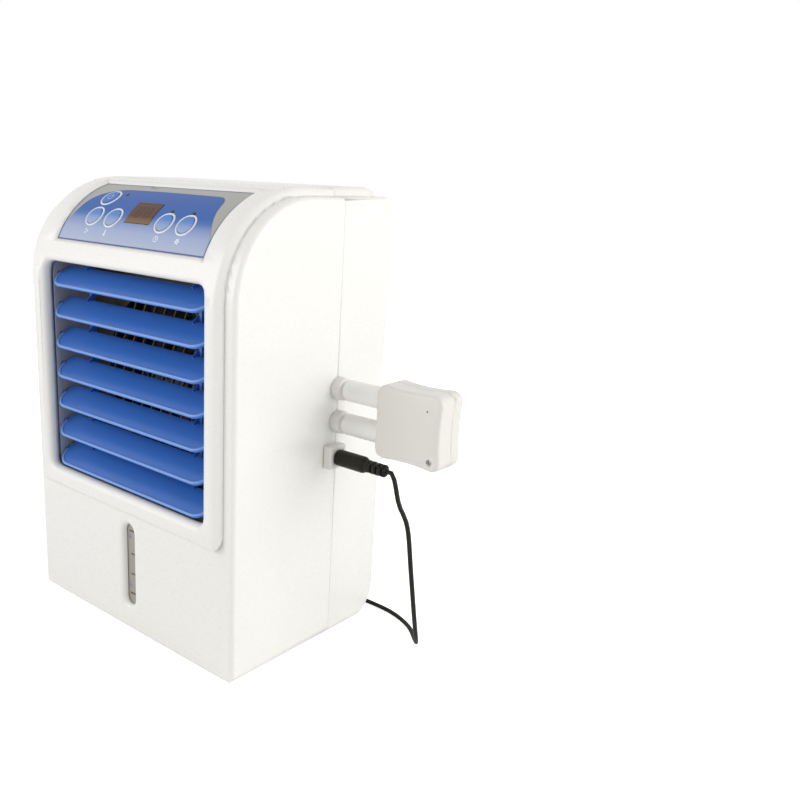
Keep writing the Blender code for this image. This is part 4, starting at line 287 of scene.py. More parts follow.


# Stops of each print and its painted reflection, from the lower edge upwards: the pale stops below the
# step paint the reflection. They were typed and tuned against the mean colours of small patches of the
# photograph. The lowest blue is itself the mean of one such patch.
blue_print_and_reflection = arc_print_and_reflection("blue_printed_film_painted_reflection", ((25, "#b0b9cf"), (34, "#a1aed0"), (40, "#7f93c2"),
                                             (43, "#4f73b2"), (46.5, "#3461ac"), (74, "#2953a0")), 0.42)
key_print_and_reflection = arc_print_and_reflection("blue_key_polycarbonate_painted_reflection", ((34, "#a9b6d6"), (40, "#90a5d2"), (43.5, "#5b86c8"),
                                                 (50, "#4375bf"), (62, "#3c6fb8")), 0.35)
amber_lens_and_reflection = arc_print_and_reflection("smoked_amber_acrylic_painted_reflection", ((38, "#86664a"), (42, "#745638"), (44.5, "#553214"),
                                                (56, "#40240c")), 0.3)
silver_print = moulded("silver_printed_film", "#a9a9a3", "#a2a29b", 0.42, 0.3, 0.004, {"IOR": 1.5})
silver_ring = moulded("silver_painted_ring", "#e4e7ea", "#d9dde1", 0.3, 0.3, 0.003, {"IOR": 1.5})
blue_border = moulded("blue_border_ink", "#34569b", "#2f4f92", 0.35, 0.3, 0.002, {"IOR": 1.5})
white_print = moulded("white_screen_ink", "#f0f1f4", "#e9eaee", 0.45, 0.3, 0.002, {"IOR": 1.5})
pale_print = moulded("pale_blue_screen_ink", "#a9c6ee", "#9fbde8", 0.4, 0.3, 0.002, {"IOR": 1.5})
digit_print = moulded("unlit_display_segments", "#2e1c0b", "#271708", 0.35, 0.3, 0.002, {"IOR": 1.5})
level_ink = moulded("dark_level_ink", "#3f3a3a", "#383333", 0.5, 0.3, 0.002, {"IOR": 1.5})
blue_ink = moulded("faint_blue_level_ink", "#7f86bb", "#767db3", 0.5, 0.3, 0.002, {"IOR": 1.5})
smoked_lens = moulded("smoked_indicator_lens", "#2b1c17", "#231612", 0.2, 0.4, 0.002, {"IOR": 1.49})
window_pc = moulded("frosted_window_polycarbonate", "#a49d94", "#978f86", 0.22, 0.6, 0.004,
                    {"IOR": 1.58})
# The bead is the blades' own blue plastic, painted lighter as the highlight along their front edges.
bead_painted_highlight = moulded("blue_polypropylene_bead_painted_highlight", "#6f9ae0", "#6792da", 0.3, 0.5, 0.004, {"IOR": 1.49})
gold_wire = moulded("brass_coloured_wire", "#866a2e", "#785e28", 0.35, 0.4, 0.004, {"IOR": 1.5})
net_thread = moulded("dark_polyester_net", "#3a3a3d", "#323235", 0.7, 0.3, 0.006, {"IOR": 1.52})


def cellulose_paper(name, colour, deep, flute):
    """Corrugated cooling paper: sheets with slanted flutes, flute is their pitch in millimetres.
    The deep colour lies in the flutes' hollows as painted shade.
    """
    material, tree, shader = new_material(name, 0.9, {"IOR": 1.5})
    place = add_node(tree, "ShaderNodeTexCoord").outputs["Object"]
    slant = add_node(tree, "ShaderNodeMapping", {"Vector": place, "Rotation": (0, math.radians(45), 0)})
    waves = add_node(tree, "ShaderNodeTexWave",
                     {"Vector": slant.outputs["Vector"], "Scale": 1000 / flute / 20 * math.pi,
                      "Distortion": 1.5, "Detail": 2.0}, bands_direction="X")
    tone = add_node(tree, "ShaderNodeMix", {"Factor": waves.outputs["Fac"]}, data_type="RGBA")
    tone.inputs[MIX_A].default_value = srgb(deep)
    tone.inputs[MIX_B].default_value = srgb(colour)
    tree.links.new(tone.outputs[MIX_RESULT], shader.inputs["Base Color"])
    bump = add_node(tree, "ShaderNodeBump",
                    {"Height": waves.outputs["Fac"], "Strength": 0.8, "Distance": 0.001})
    tree.links.new(bump.outputs["Normal"], shader.inputs["Normal"])
    return material


# The dark brown in the flutes' hollows is painted shade.
cellulose = cellulose_paper("fluted_cellulose_paper_painted_shade", "#a07e4c", "#54401f", 7.0)
print("prints and lenses:", blue_print_and_reflection.name, amber_lens_and_reflection.name, cellulose.name)

# %% [markdown]
# Piece makers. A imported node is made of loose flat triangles. A copy whose corners are merged can be
# shaded smooth, except across real edges, and weighted normals keep its flat faces flat. The copy
# stands for the node and rides on the same body.


def linked(name, data):
    """A new object with the given data, linked to the scene."""
    made = bpy.data.objects.new(name, data)
    bpy.context.scene.collection.objects.link(made)
    return made


def evaluated_mesh(piece):
    """A plain mesh of what a piece is with its modifiers or its curve's bevel applied."""
    graph = bpy.context.evaluated_depsgraph_get()
    return bpy.data.meshes.new_from_object(piece.evaluated_get(graph), depsgraph=graph)


def written(name, bm):
    """Writes a bmesh out as a new mesh and frees it."""
    mesh = bpy.data.meshes.new(name)
    bm.to_mesh(mesh)
    bm.free()
    return mesh


def curve_solid(name, curve):
    """A bmesh of a curve's shape, its corners merged and its faces outwards."""
    shape = linked(name + "_path", curve)
    mesh = evaluated_mesh(shape)
    bpy.data.objects.remove(shape)
    bpy.data.curves.remove(curve)
    bm = bmesh.new()
    bm.from_mesh(mesh)
    bpy.data.meshes.remove(mesh)
    bmesh.ops.remove_doubles(bm, verts=bm.verts, dist=0.000001)
    bmesh.ops.recalc_face_normals(bm, faces=bm.faces)
    return bm


def make_piece(name, mesh, material, body, *nodes):
    """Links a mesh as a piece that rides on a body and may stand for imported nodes."""
    mesh.materials.clear()
    mesh.materials.append(material)
    piece = linked(name, mesh)
    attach(piece, body)
    if nodes:
        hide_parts(*nodes)
    return piece


def baked(piece):
    """Applies a piece's modifiers, so that it is a plain mesh."""
    mesh = evaluated_mesh(piece)
    old = piece.data
    piece.modifiers.clear()
    piece.data = mesh
    bpy.data.meshes.remove(old)
    return piece


def shade(mesh, angle=35):
    """Smooth shading, except across edges sharper than the angle."""
    for polygon in mesh.polygons:
        polygon.use_smooth = True
    mesh.set_sharp_from_angle(angle=math.radians(angle))
    return mesh


def keep_node(node, material):
    """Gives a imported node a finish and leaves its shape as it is."""
    piece = frame["nodes"][node]
    for place in piece.material_slots:
        place.material = material
    return piece


def dress(node, material, angle=35, carver=None):
    """A smooth-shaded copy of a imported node, which stands for it. A carver is cut out of it."""
    source = frame["nodes"][node]
    bm = bmesh.new()
    bm.from_mesh(source.data)
    bmesh.ops.remove_doubles(bm, verts=bm.verts, dist=0.000002)
    piece = linked(node + "_skin", written(node + "_skin", bm))
    piece.data.materials.append(material)
    if carver:
        carve = piece.modifiers.new("carve", "BOOLEAN")
        carve.operation = "DIFFERENCE"
        carve.solver = "EXACT"
        carve.object = carver
        baked(piece)
        tool = carver.data
        bpy.data.objects.remove(carver)
        bpy.data.meshes.remove(tool)
        piece.data.materials.clear()
        piece.data.materials.append(material)
    shade(piece.data, angle)
    normals = piece.modifiers.new("even_normals", "WEIGHTED_NORMAL")
    normals.keep_sharp = True
    baked(piece)
    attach(piece, body_of(source)[0])
    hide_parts(node)
    return piece


# %% [markdown]
# The cord comes first, because its length decides where it can lie. About 1.2 m is usual for a 12 V
# adaptor. The photograph shows only its fall from the plug, so the rest is put away behind the casing,
# in a round coil of two layers with the adaptor beside it.

# %% Cord route
CORD_RADIUS = 0.0015
CORD_GAP = 0.0003
COIL_RADIUS = 0.0180
COIL_STEP = 0.0037
COIL_LAYER = 0.0036
COIL_TURNS = 4
COIL_CENTRE = (0.036, 0.171)
COIL_LOW = CORD_RADIUS + 0.0012
plug_low, plug_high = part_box("dc_plug")
CORD_EXIT = Vector((plug_high[0] + CORD_GAP, (plug_low[1] + plug_high[1]) / 2,
                    (plug_low[2] + plug_high[2]) / 2))
CORD_FALL = (
    (0.1525, 0.0841, 0.1280),
    (0.1560, 0.0850, 0.1140),
    (0.1620, 0.0870, 0.1000),
    (0.1640, 0.0910, 0.0700),
    (0.1630, 0.0990, 0.0380),
    (0.1580, 0.1110, 0.0130),
    (0.1480, 0.1250, 0.0030),
    (0.1320, 0.1390, 0.0020),
    (0.1100, 0.1468, 0.0020),
    (0.0800, 0.1470, 0.0024),
)


KNOT_STEPS = 24


def smooth_path(points, step):
    """Even points along a smooth curve through the given points."""
    knots = [points[0] * 2 - points[1]] + points + [points[-1] * 2 - points[-2]]
    fine = []
    for a, b, c, d in zip(knots, knots[1:], knots[2:], knots[3:]):
        for i in range(KNOT_STEPS):
            t = i / KNOT_STEPS
            fine.append(0.5 * (2 * b + (c - a) * t + (2 * a - 5 * b + 4 * c - d) * t ** 2
                               + (3 * b - a - 3 * c + d) * t ** 3))
    fine.append(points[-1])
    total = sum((q - p).length for p, q in zip(fine, fine[1:]))
    count = max(2, round(total / step))
    even = [fine[0]]
    walked = 0.0
    for p, q in zip(fine, fine[1:]):
        length = (q - p).length
        while walked + length >= total / count * len(even) and len(even) < count:
            even.append(p.lerp(q, (total / count * len(even) - walked) / length))
        walked += length
    return even + [fine[-1]]


def coil_points(per_turn=36):
    """Two layers: the cord winds in, climbs in the middle and winds out again."""
    outer = COIL_RADIUS + COIL_STEP * COIL_TURNS / 2
    points = []
    for i in range(-per_turn * COIL_TURNS, per_turn * COIL_TURNS + 1):
        turns = i / per_turn
        radius = outer - COIL_STEP * (COIL_TURNS - abs(turns))
        climb = min(max(turns + 0.25, 0), 0.5) / 0.5
        angle = -math.pi / 2 - 2 * math.pi * turns
        points.append(at(COIL_CENTRE[0] + radius * math.cos(angle),
                         COIL_CENTRE[1] + radius * math.sin(angle), COIL_LOW + COIL_LAYER * climb))
    return points


loops = coil_points()
lead = Vector((CORD_RADIUS * 2, 0, 0))
coil_start = loops[0] + lead
adaptor_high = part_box("power_adaptor")[1]
coil_end = Vector((adaptor_high[0] + CORD_GAP, loops[-1].y, loops[-1].z))
coil_path = [coil_start] + loops + [coil_end]
fall = [CORD_EXIT + lead] + [at(*point) for point in CORD_FALL] + [coil_start + lead * 4,
                                                                   coil_start + lead * 2]
free_path = [CORD_EXIT] + smooth_path(fall, CORD_RADIUS * 3)
cord_path = free_path + coil_path


# %% [markdown]
# The cord itself is soft black PVC, a tube swept along its path. A poly curve with a round bevel does
# that in one step, and a mesh of it keeps the faces square to the path. Small waves in the real cord
# come from how it was packed, and the path has them already.

# %% Cord


def sweep(name, points, radius, material, body, nodes=(), sides=4):
    """A tube along the points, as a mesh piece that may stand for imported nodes."""
    curve = bpy.data.curves.new(name, "CURVE")
    curve.dimensions = "3D"
    curve.bevel_depth = radius
    curve.bevel_resolution = sides
    curve.use_fill_caps = True
    curve.twist_mode = "MINIMUM"
    spline = curve.splines.new("POLY")
    spline.points.add(len(points) - 1)
    for place, point in zip(spline.points, points):
        place.co = (*point, 1)
    mesh = written(name, curve_solid(name, curve))
    return make_piece(name, shade(mesh, 50), material, body, *nodes)


cord = sweep("dc_cord_tube", cord_path, CORD_RADIUS, black_pvc, "host", ("dc_cord", "cord_coil"))
print("cord faces:", len(cord.data.polygons))

# %% [markdown]
# The free cord leaves the plug, so the plug, the coil, its tie and the adaptor go with it.

# %% Plug, adaptor and tie
plug_skin = dress("dc_plug", black_pvc, 40)
tie_skin = dress("coil_tie", black_rubber, 30)
adaptor = keep_node("power_adaptor", black_pbt)
pins = keep_node("adaptor_pins", nickel)

# %% [markdown]
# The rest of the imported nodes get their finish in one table: a material, and the nodes it belongs to.
# The label, the keys and the blades follow in cells of their own.

# %% Dress the plain nodes
FINISHES = (
    (white_abs, ("rear_cover", "top_lid", "rear_grille")),
    (satin_abs, ("port_upper", "port_lower", "dc_socket", "drip_tray", "pad_frame")),
    (device_abs, ("device_front_shell", "device_rear_shell")),
    (silicone_white, ("device_sleeve_upper", "device_sleeve_lower")),
    (milky_hose, ("supply_hose", "return_hose", "device_tube")),
    (blue_pp, ("louvre_link_left", "louvre_link_right")),
    (grey_abs, ("louvre_frame",)),
    (smoked_lens, ("indicator_lenses",)),
    (guard_abs, ("outlet_guard",)),
    (black_pbt, ("fan_frame", "fan_impeller", "pump", "ion_generator", "display_module")),
    (zinc_steel, ("fan_motor", "case_screw_left_lower", "case_screw_left_upper",
                  "case_screw_right_lower", "case_screw_right_upper", "device_screw")),
    (tank_pp, ("water_tank",)),
    (green_mask, ("control_board",)),
    (cellulose, ("cooling_pad",)),
    (black_rubber, ("drain_plug", "rubber_foot_front", "rubber_foot_rear")),
    (silver_print, ("control_label",)),
    (amber_lens_and_reflection, ("display_lens",)),
    (window_pc, ("level_window",)),
)
for material, nodes in FINISHES:
    for node in nodes:
        dress(node, material)
print("dressed nodes:", sum(len(nodes) for material, nodes in FINISHES))

# %% [markdown]
# A louvre blade is a thin moulded plate with rounded ends, a bead along its front edge, a pivot pin at
# each end and two ears for the link bars. It could be cut from a block, but a plate with a swept bead
# shows the soft edges that catch the light. The bead is a lighter blue than the plate, as a painted
# highlight along the front edge. One blade is made on its pivot, and each body gets a copy.

# %% Louvre blades
BLADE_TILT = math.radians(36.0)
BLADE_HALF = 0.0770
BLADE_FRONT = -0.0117
BLADE_REAR = 0.0078
FRONT_ROUND = 0.0108
REAR_ROUND = 0.0045
PLATE = 0.0016
PLATE_ROUND = 0.0005
BEAD = 0.0011
PIN_START = 0.0750
PIN_END = 0.0800
PIN_RADIUS = 0.0012
EAR_X = 0.0529
EAR_HALF = 0.0006
EAR_ROOT = 0.0054
EAR_TIP = 0.0138
EAR_LOW = -0.0004
EAR_HIGH = 0.0021
CRANK = 0.0125
CRANK_RISE = 0.0008
CRANK_RADIUS = 0.0008
CRANK_REACH = 0.0039


def arc(cu, cv, radius, start, stop, count):
    """Points of an arc from start to stop degrees, both ends included."""
    turns = [math.radians(start + (stop - start) * i / count) for i in range(count + 1)]
    return [(cu + radius * math.cos(turn), cv + radius * math.sin(turn)) for turn in turns]


def plate_mesh(name, loops, thickness, round_over=0.0):
    """A flat plate in the XY plane from closed loops, the later ones being holes."""
    curve = bpy.data.curves.new(name, "CURVE")
    curve.dimensions = "2D"
    curve.fill_mode = "BOTH"
    curve.extrude = thickness / 2 - round_over
    curve.bevel_depth = round_over
    curve.bevel_resolution = 2
    curve.offset = -round_over
    for loop in loops:
        spline = curve.splines.new("POLY")
        spline.points.add(len(loop) - 1)
        for place, (u, v) in zip(spline.points, loop):
            place.co = (u, v, 0, 1)
        spline.use_cyclic_u = True
    return curve_solid(name, curve)


def add_rod(bm, start, end, radius, sides=16):
    """Adds a closed rod from start to end."""
    start = Vector(start)
    end = Vector(end)
    made = bmesh.ops.create_cone(bm, cap_ends=True, segments=sides, radius1=radius,
                                 radius2=radius, depth=(end - start).length)
    turn = Vector((0, 0, 1)).rotation_difference(end - start).to_matrix().to_4x4()
    bmesh.ops.transform(bm, matrix=Matrix.Translation((start + end) / 2) @ turn,
                        verts=made["verts"])


def add_block(bm, low, high):
    """Adds a closed block between two corners."""
    low = Vector(low)
    high = Vector(high)
    made = bmesh.ops.create_cube(bm, size=1.0)
    bmesh.ops.scale(bm, vec=high - low, verts=made["verts"])
    bmesh.ops.translate(bm, vec=(low + high) / 2, verts=made["verts"])


front_edge = arc(BLADE_HALF - FRONT_ROUND, BLADE_FRONT + FRONT_ROUND, FRONT_ROUND, -90, 0, 12)
rear_edge = arc(BLADE_HALF - REAR_ROUND, BLADE_REAR - REAR_ROUND, REAR_ROUND, 0, 90, 6)
half_outline = front_edge + rear_edge
blade_outline = half_outline + [(-x, y) for x, y in reversed(half_outline)]
blade = plate_mesh("blade", [blade_outline], PLATE, PLATE_ROUND)
bead_path = [(-x, y) for x, y in reversed(front_edge)] + front_edge
bead_points = [Vector((x * (1 - BEAD / BLADE_HALF), y + BEAD * (1 if y < 0 else 0), PLATE / 4))
               for x, y in bead_path]
for side in (-1, 1):
    add_rod(blade, (side * PIN_START, 0, 0), (side * PIN_END, 0, 0), PIN_RADIUS)
    add_block(blade, (side * EAR_X - EAR_HALF, EAR_ROOT, EAR_LOW),
              (side * EAR_X + EAR_HALF, EAR_TIP, EAR_HIGH))
    add_rod(blade, (side * EAR_X, CRANK, CRANK_RISE),
            (side * (EAR_X + CRANK_REACH), CRANK, CRANK_RISE), CRANK_RADIUS)
blade_master = written("blade_master", blade)
pivots = {row["child"]: row["pos_m"] for row in frame["record"]["behaviour"]["joints"]
          if "pos_m" in row}
BLADES = ["louvre_blade_%d" % number for number in range(1, 8)]
for node in BLADES:
    body = body_of(frame["nodes"][node])[0]
    place = Matrix.Translation(Vector(pivots[body])) @ Matrix.Rotation(BLADE_TILT, 4, "X")
    mesh = blade_master.copy()
    mesh.transform(place)
    make_piece(node + "_skin", shade(mesh, 32), blue_pp, body, node)
    # The bead's lighter blue is a painted highlight.
    sweep(node + "_bead", [place @ point for point in bead_points], BEAD, bead_painted_highlight, body, (), 3)
print("blades:", len(BLADES))

# %% [markdown]
# The panel is a printed film on the casing's arc: a silver field with a thin blue border, a blue area
# that a painted reflection pales towards its lower edge, and silver rings round the keys. Print could be
# painted on the film, but flat shapes cut in the film's own plane (across, and degrees round the arc)
# keep their edges crisp. They are bent onto the arc afterwards. Words are left off.
#
# The film lies in a recess with a sloped edge on each side. The imported housing has a plain step there,
# so one block with slanted ends is cut out of the housing's dressed copy.

# %% Printed shapes of the panel
PANEL_FACE = 0.0658
HALF = 0.0718
SLOPE = 0.0042
SLOPE_DEGREES = 3.3
SKIN = 0.0682
# The cutting block, in metres and in degrees round the arc
CUT_TOP = 0.0700
CUT_LIFT = 0.0002
CUT_LOW = 25.2
CUT_HIGH = 73.8
CUT_SPARE = 3.4
CUT_STEPS = 20
MM = 0.001
DEGREE = math.radians(1) * PANEL_FACE
# Places on the panel: metres across and degrees round the arc
KEYS = {"power_button": (-0.0446, 56.8), "fan_speed_button": (-0.0445, 41.8),
        "thermostat_button": (-0.0251, 41.8), "timer_button": (0.0251, 41.8),
        "ion_button": (0.0445, 41.8)}
LAMPS = ((-0.0330, 61.2), (0.0244, 50.0), (0.0439, 50.0))
LENS_BOX = (-0.0123, 0.0123, 39.1, 55.4)


def round_arc(x, reach, first, last):
    """Points round the panel's arc at one place across, between two turns in degrees."""
    turns = [math.radians(first + (last - first) * i / CUT_STEPS) for i in range(CUT_STEPS + 1)]
    return [at(x, ARC_Y + reach * math.cos(turn), ARC_Z + reach * math.sin(turn)) for turn in turns]


def slope_ring(x, inner, spread):
    """Side view of the cutting block at one place across, wider by spread degrees at both ends."""
    start = 180 - CUT_LOW + spread
    stop = 180 - CUT_HIGH - spread
    return (round_arc(x, CUT_TOP, start + CUT_SPARE, stop - CUT_SPARE)
            + round_arc(x, inner, stop, start))


slopes = bmesh.new()
rows = [[slopes.verts.new(point) for point in ring] for ring in (
    slope_ring(-HALF - SLOPE, SKIN, SLOPE_DEGREES), slope_ring(-HALF, PANEL_FACE + CUT_LIFT, 0),
    slope_ring(HALF, PANEL_FACE + CUT_LIFT, 0), slope_ring(HALF + SLOPE, SKIN, SLOPE_DEGREES))]
for here, there in zip(rows, rows[1:]):
    for i in range(len(here)):
        j = (i + 1) % len(here)
        slopes.faces.new((here[i], here[j], there[j], there[i]))
slopes.faces.new(rows[0])
slopes.faces.new(rows[-1])
bmesh.ops.recalc_face_normals(slopes, faces=slopes.faces)
slope_tool = linked("panel_slopes", written("panel_slopes", slopes))
dress("front_housing", white_abs, 35, slope_tool)
print("slope corners:", len(rows) * len(rows[0]))


def bent(bm, radius):
    """Bends a flat sheet onto the panel's arc: Y holds the length round the arc, Z the lift."""
    lows = [vert.co.y for vert in bm.verts]
    for step in range(int(min(lows) / DEGREE) + 1, int(max(lows) / DEGREE) + 1, 2):
        bmesh.ops.bisect_plane(bm, geom=bm.verts[:] + bm.edges[:] + bm.faces[:], dist=0.000001,
                               plane_co=(0, step * DEGREE, 0), plane_no=(0, 1, 0))
    for vert in bm.verts:
        turn = vert.co.y / PANEL_FACE
        reach = radius + vert.co.z
        vert.co = at(vert.co.x, ARC_Y - reach * math.cos(turn), ARC_Z + reach * math.sin(turn))


def printed(name, loops, material, body="host", lift=0.04, thickness=0.05, radius=PANEL_FACE):
    """A printed shape on the panel. Its loops hold places across and degrees round the arc."""
    flat = [[(x, phi * DEGREE) for x, phi in loop] for loop in loops]
    bm = plate_mesh(name, flat, thickness * MM)
    bent(bm, radius + lift * MM)
    bmesh.ops.recalc_face_normals(bm, faces=bm.faces)
    return make_piece(name, shade(written(name, bm), 40), material, body)


def disc(x, phi, radius, count=40):
    """A circle in the panel's own plane."""
    return [(u, v / DEGREE) for u, v in arc(x, phi * DEGREE, radius, 0, 360 - 360 / count, count - 1)]


def rounded(corners):
    """An outline whose corners (x, phi, radius) are rounded."""
    points = []
    count = len(corners)
    for index, (x, phi, radius) in enumerate(corners):
        here = Vector((x, phi * DEGREE))
        before = Vector((corners[index - 1][0], corners[index - 1][1] * DEGREE)) - here
        after = Vector((corners[(index + 1) % count][0],
                        corners[(index + 1) % count][1] * DEGREE)) - here
        start = here + before.normalized() * radius
        end = here + after.normalized() * radius
        for step in range(9):
            t = step / 8
            spot = start.lerp(here, t).lerp(here.lerp(end, t), t)
            points.append((spot.x, spot.y / DEGREE))
    return points


EDGE = 0.0007
LOW = 25.3
HIGH = 73.7
EDGE_DEGREES = EDGE / DEGREE
KEY_HOLE = 0.0066
LAMP_HOLE = 0.0016
ring_holes = [disc(x, phi, KEY_HOLE) for x, phi in KEYS.values()]
lamp_holes = [disc(x, phi, LAMP_HOLE, 12) for x, phi in LAMPS]
lens_hole = [(LENS_BOX[0], LENS_BOX[2]), (LENS_BOX[1], LENS_BOX[2]), (LENS_BOX[1], LENS_BOX[3]),
             (LENS_BOX[0], LENS_BOX[3])]
border = [(-HALF, LOW), (HALF, LOW), (HALF, HIGH), (-HALF, HIGH)]
border_inside = [(-HALF + EDGE, LOW + EDGE_DEGREES), (HALF - EDGE, LOW + EDGE_DEGREES),
                 (HALF - EDGE, HIGH - EDGE_DEGREES), (-HALF + EDGE, HIGH - EDGE_DEGREES)]
printed("panel_border", [border, border_inside], blue_border)
FIELD_LOW = LOW + EDGE_DEGREES + 0.1
field = rounded([(-HALF + 0.0009, FIELD_LOW, 0.0002), (HALF - 0.0009, FIELD_LOW, 0.0002),
                 (HALF - 0.0012, 35.0, 0.003), (0.0612, 50.0, 0.008), (0.0575, 65.6, 0.009),
                 (0.0, 66.8, 0.02), (-0.0480, 66.4, 0.014), (-0.0640, 56.0, 0.008),
                 (-HALF + 0.0012, 35.0, 0.003)])
printed("panel_blue", [field] + ring_holes + lamp_holes + [lens_hole], blue_print_and_reflection)
printed("panel_tab", [rounded([(-0.0230, 72.9, 0.0001), (-0.0222, 72.9, 0.0001),
                               (-0.0222, 71.4, 0.0005), (-0.0150, 70.6, 0.0001),
                               (-0.0152, 70.2, 0.0001), (-0.0230, 71.2, 0.0005)])], blue_border)
print("printed: border, blue field and tab")

# %% [markdown]
# Each key has a raised silver ring round it, moulded on the real film. A ring is a half-round bead made
# flat and bent like the print. The marks in the row below are plain pictures in place of the words:
# a fan, a thermometer, a clock and a six-petalled mark for the ions. The power key has the usual open
# circle with a bar, and the display shows two unlit figures.

# %% Rings, pictures and digits


RING_INNER = 0.0064
RING_OUTER = 0.0078
RING_HEIGHT = 0.0006
RING_LIFT = 0.00002
RING_STEPS = 48


def ring_piece(name, x, phi):
    """A half-round ring on the panel."""
    middle = (RING_INNER + RING_OUTER) / 2
    half = (RING_OUTER - RING_INNER) / 2
    bm = bmesh.new()
    section = [(middle - half * math.cos(math.radians(a)), RING_HEIGHT * math.sin(math.radians(a)))
               for a in range(0, 181, 30)]
    rows = []
    for step in range(RING_STEPS):
        turn = 2 * math.pi * step / RING_STEPS
        rows.append([bm.verts.new((x + r * math.cos(turn), phi * DEGREE + r * math.sin(turn), h))
                     for r, h in section])
    for step in range(RING_STEPS):
        here = rows[step]
        there = rows[(step + 1) % RING_STEPS]
        for i in range(len(section)):
            j = (i + 1) % len(section)
            bm.faces.new((here[i], here[j], there[j], there[i]))
    bent(bm, PANEL_FACE + RING_LIFT)
    bmesh.ops.recalc_face_normals(bm, faces=bm.faces)
    return make_piece(name, shade(written(name, bm), 60), silver_ring, "host")


for key, (x, phi) in KEYS.items():
    dress(key, key_print_and_reflection)
    ring_piece(key + "_ring", x, phi)


def bar(x, phi, width, height, lean=0.0):
    """A small rectangle on the panel, its height in degrees round the arc."""
    return [(x - width / 2, phi - height / 2), (x + width / 2, phi - height / 2),
            (x + width / 2 + lean, phi + height / 2), (x - width / 2 + lean, phi + height / 2)]


PETAL_STEPS = 12


def petals(x, phi, radius, count):
    """Leaf shapes round a middle, as on a fan's mark."""
    loops = []
    for index in range(count):
        turn = 2 * math.pi * index / count
        loop = []
        for step in range(PETAL_STEPS):
            angle = 2 * math.pi * step / PETAL_STEPS
            u = radius * 0.60 + radius * 0.40 * math.cos(angle)
            v = radius * 0.22 * math.sin(angle)
            loop.append((x + u * math.cos(turn) - v * math.sin(turn),
                         phi + (u * math.sin(turn) + v * math.cos(turn)) / DEGREE))
        loops.append(loop)
    return loops


ROW = 31.8
MARK_RADIUS = 0.0021
MARK_LIFT = 0.10
KEY_TOP = PANEL_FACE + 0.0008
speed_x, thermo_x, timer_x, ion_x = (KEYS[key][0] for key in (
    "fan_speed_button", "thermostat_button", "timer_button", "ion_button"))
power_x, power_phi = KEYS["power_button"]
marks = {
    "fan_mark": petals(speed_x, ROW, MARK_RADIUS, 3),
    "thermometer_mark": [bar(thermo_x, ROW + 0.7, 0.0009, 2.2), disc(thermo_x, ROW - 1.0, 0.0009, 16)],
    "clock_mark": [disc(timer_x, ROW, 0.0020, 24), disc(timer_x, ROW, 0.0016, 24)],
    "ion_mark": petals(ion_x, ROW, MARK_RADIUS, 6),
    "clock_hands": [bar(timer_x, ROW + 0.5, 0.0004, 1.1),
                    bar(timer_x + 0.0005, ROW - 0.1, 0.0012, 0.35)],
}
for name, loops in marks.items():
    printed(name, loops, white_print, lift=MARK_LIFT)


def open_arc(radius):
    """The power mark's arc, open at the top."""
    return [(u, v / DEGREE) for u, v in arc(power_x, power_phi * DEGREE, radius, 130, 410, 24)]


power_loops = [open_arc(0.0024) + open_arc(0.0019)[::-1], bar(power_x, power_phi + 1.6, 0.0005, 2.0)]
printed("power_mark", power_loops, pale_print, "power_key", 0.04, 0.05, KEY_TOP)
# Each segment: steps across, steps up, and whether it stands.
SEGMENTS = ((0, 2, 0), (1, 1, 1), (1, -1, 1), (0, -2, 0), (-1, -1, 1), (-1, 1, 1), (0, 0, 0))
DIGIT_X = 0.0042
DIGIT_PHI = 47.2
DIGIT_HALF = 0.0021
DIGIT_STEP = 1.75
DIGIT_LEAN = 0.0002
UPRIGHT = (0.0006, 3.0)
LYING = (0.0032, 0.55)
digits = []
for place in (-DIGIT_X, DIGIT_X):
    for across, up, upright in SEGMENTS:
        width, height = UPRIGHT if upright else LYING
        digits.append(bar(place + across * DIGIT_HALF, DIGIT_PHI + up * DIGIT_STEP, width, height,
                          DIGIT_LEAN))
printed("display_digits", digits, digit_print, lift=0.34)
print("rings and marks:", len(KEYS), len(marks) + 2)

# %% [markdown]
# The level window is a frosted lens in its slot. Its marks are printed on the face: two long ticks for
# the highest and lowest water, short ones between, and a small arrow in place of each word.

# %% Level marks
WINDOW_FACE = 0.0041
TICK_DEEP = 0.0002


TICK_END = 0.0044
# Each tick: its left end across, its lower edge and its upper edge.
TICKS = ((-0.0026, 0.0720, 0.0729), (-0.0014, 0.0558, 0.0566), (-0.0014, 0.0413, 0.0421),
         (-0.0026, 0.0270, 0.0279))
ARROW_SIDE = 0.0030
ARROW_HEIGHT = ARROW_SIDE * 0.8
ARROW_X = -0.0026
# Each arrow: its name, its lower edge, and 1 or -1 for the way it points.
ARROWS = (("high_level_arrow", 0.0672, 1), ("low_level_arrow", 0.0312, -1))
ticks = bmesh.new()
for left, low, high in TICKS:
    add_block(ticks, at(left, WINDOW_FACE - TICK_DEEP, low), at(TICK_END, WINDOW_FACE, high))
make_piece("level_ticks", written("level_ticks", ticks), level_ink, "host")
for name, low, up in ARROWS:
    base = low if up > 0 else low + ARROW_HEIGHT
    half = ARROW_SIDE / 2
    flat = plate_mesh(name, [[(-half, base), (half, base), (0, base + up * ARROW_HEIGHT)]], TICK_DEEP)
    for vert in flat.verts:
        vert.co = at(vert.co.x + ARROW_X, WINDOW_FACE - TICK_DEEP / 2 - vert.co.z, vert.co.y)
    bmesh.ops.recalc_face_normals(flat, faces=flat.faces)
    make_piece(name, written(name, flat), blue_ink, "host")
print("level marks:", len(TICKS), "ticks and", len(ARROWS), "arrows")

# %% [markdown]
# Rows of equal rods come from one node group: a line of points, a rod on each, and a circle that
# shortens the outer ones. It makes the threads of the filter net and the wires of the outlet guard.
# Copying rods by hand would do too, but here the count and the pitch stay numbers that can be changed.

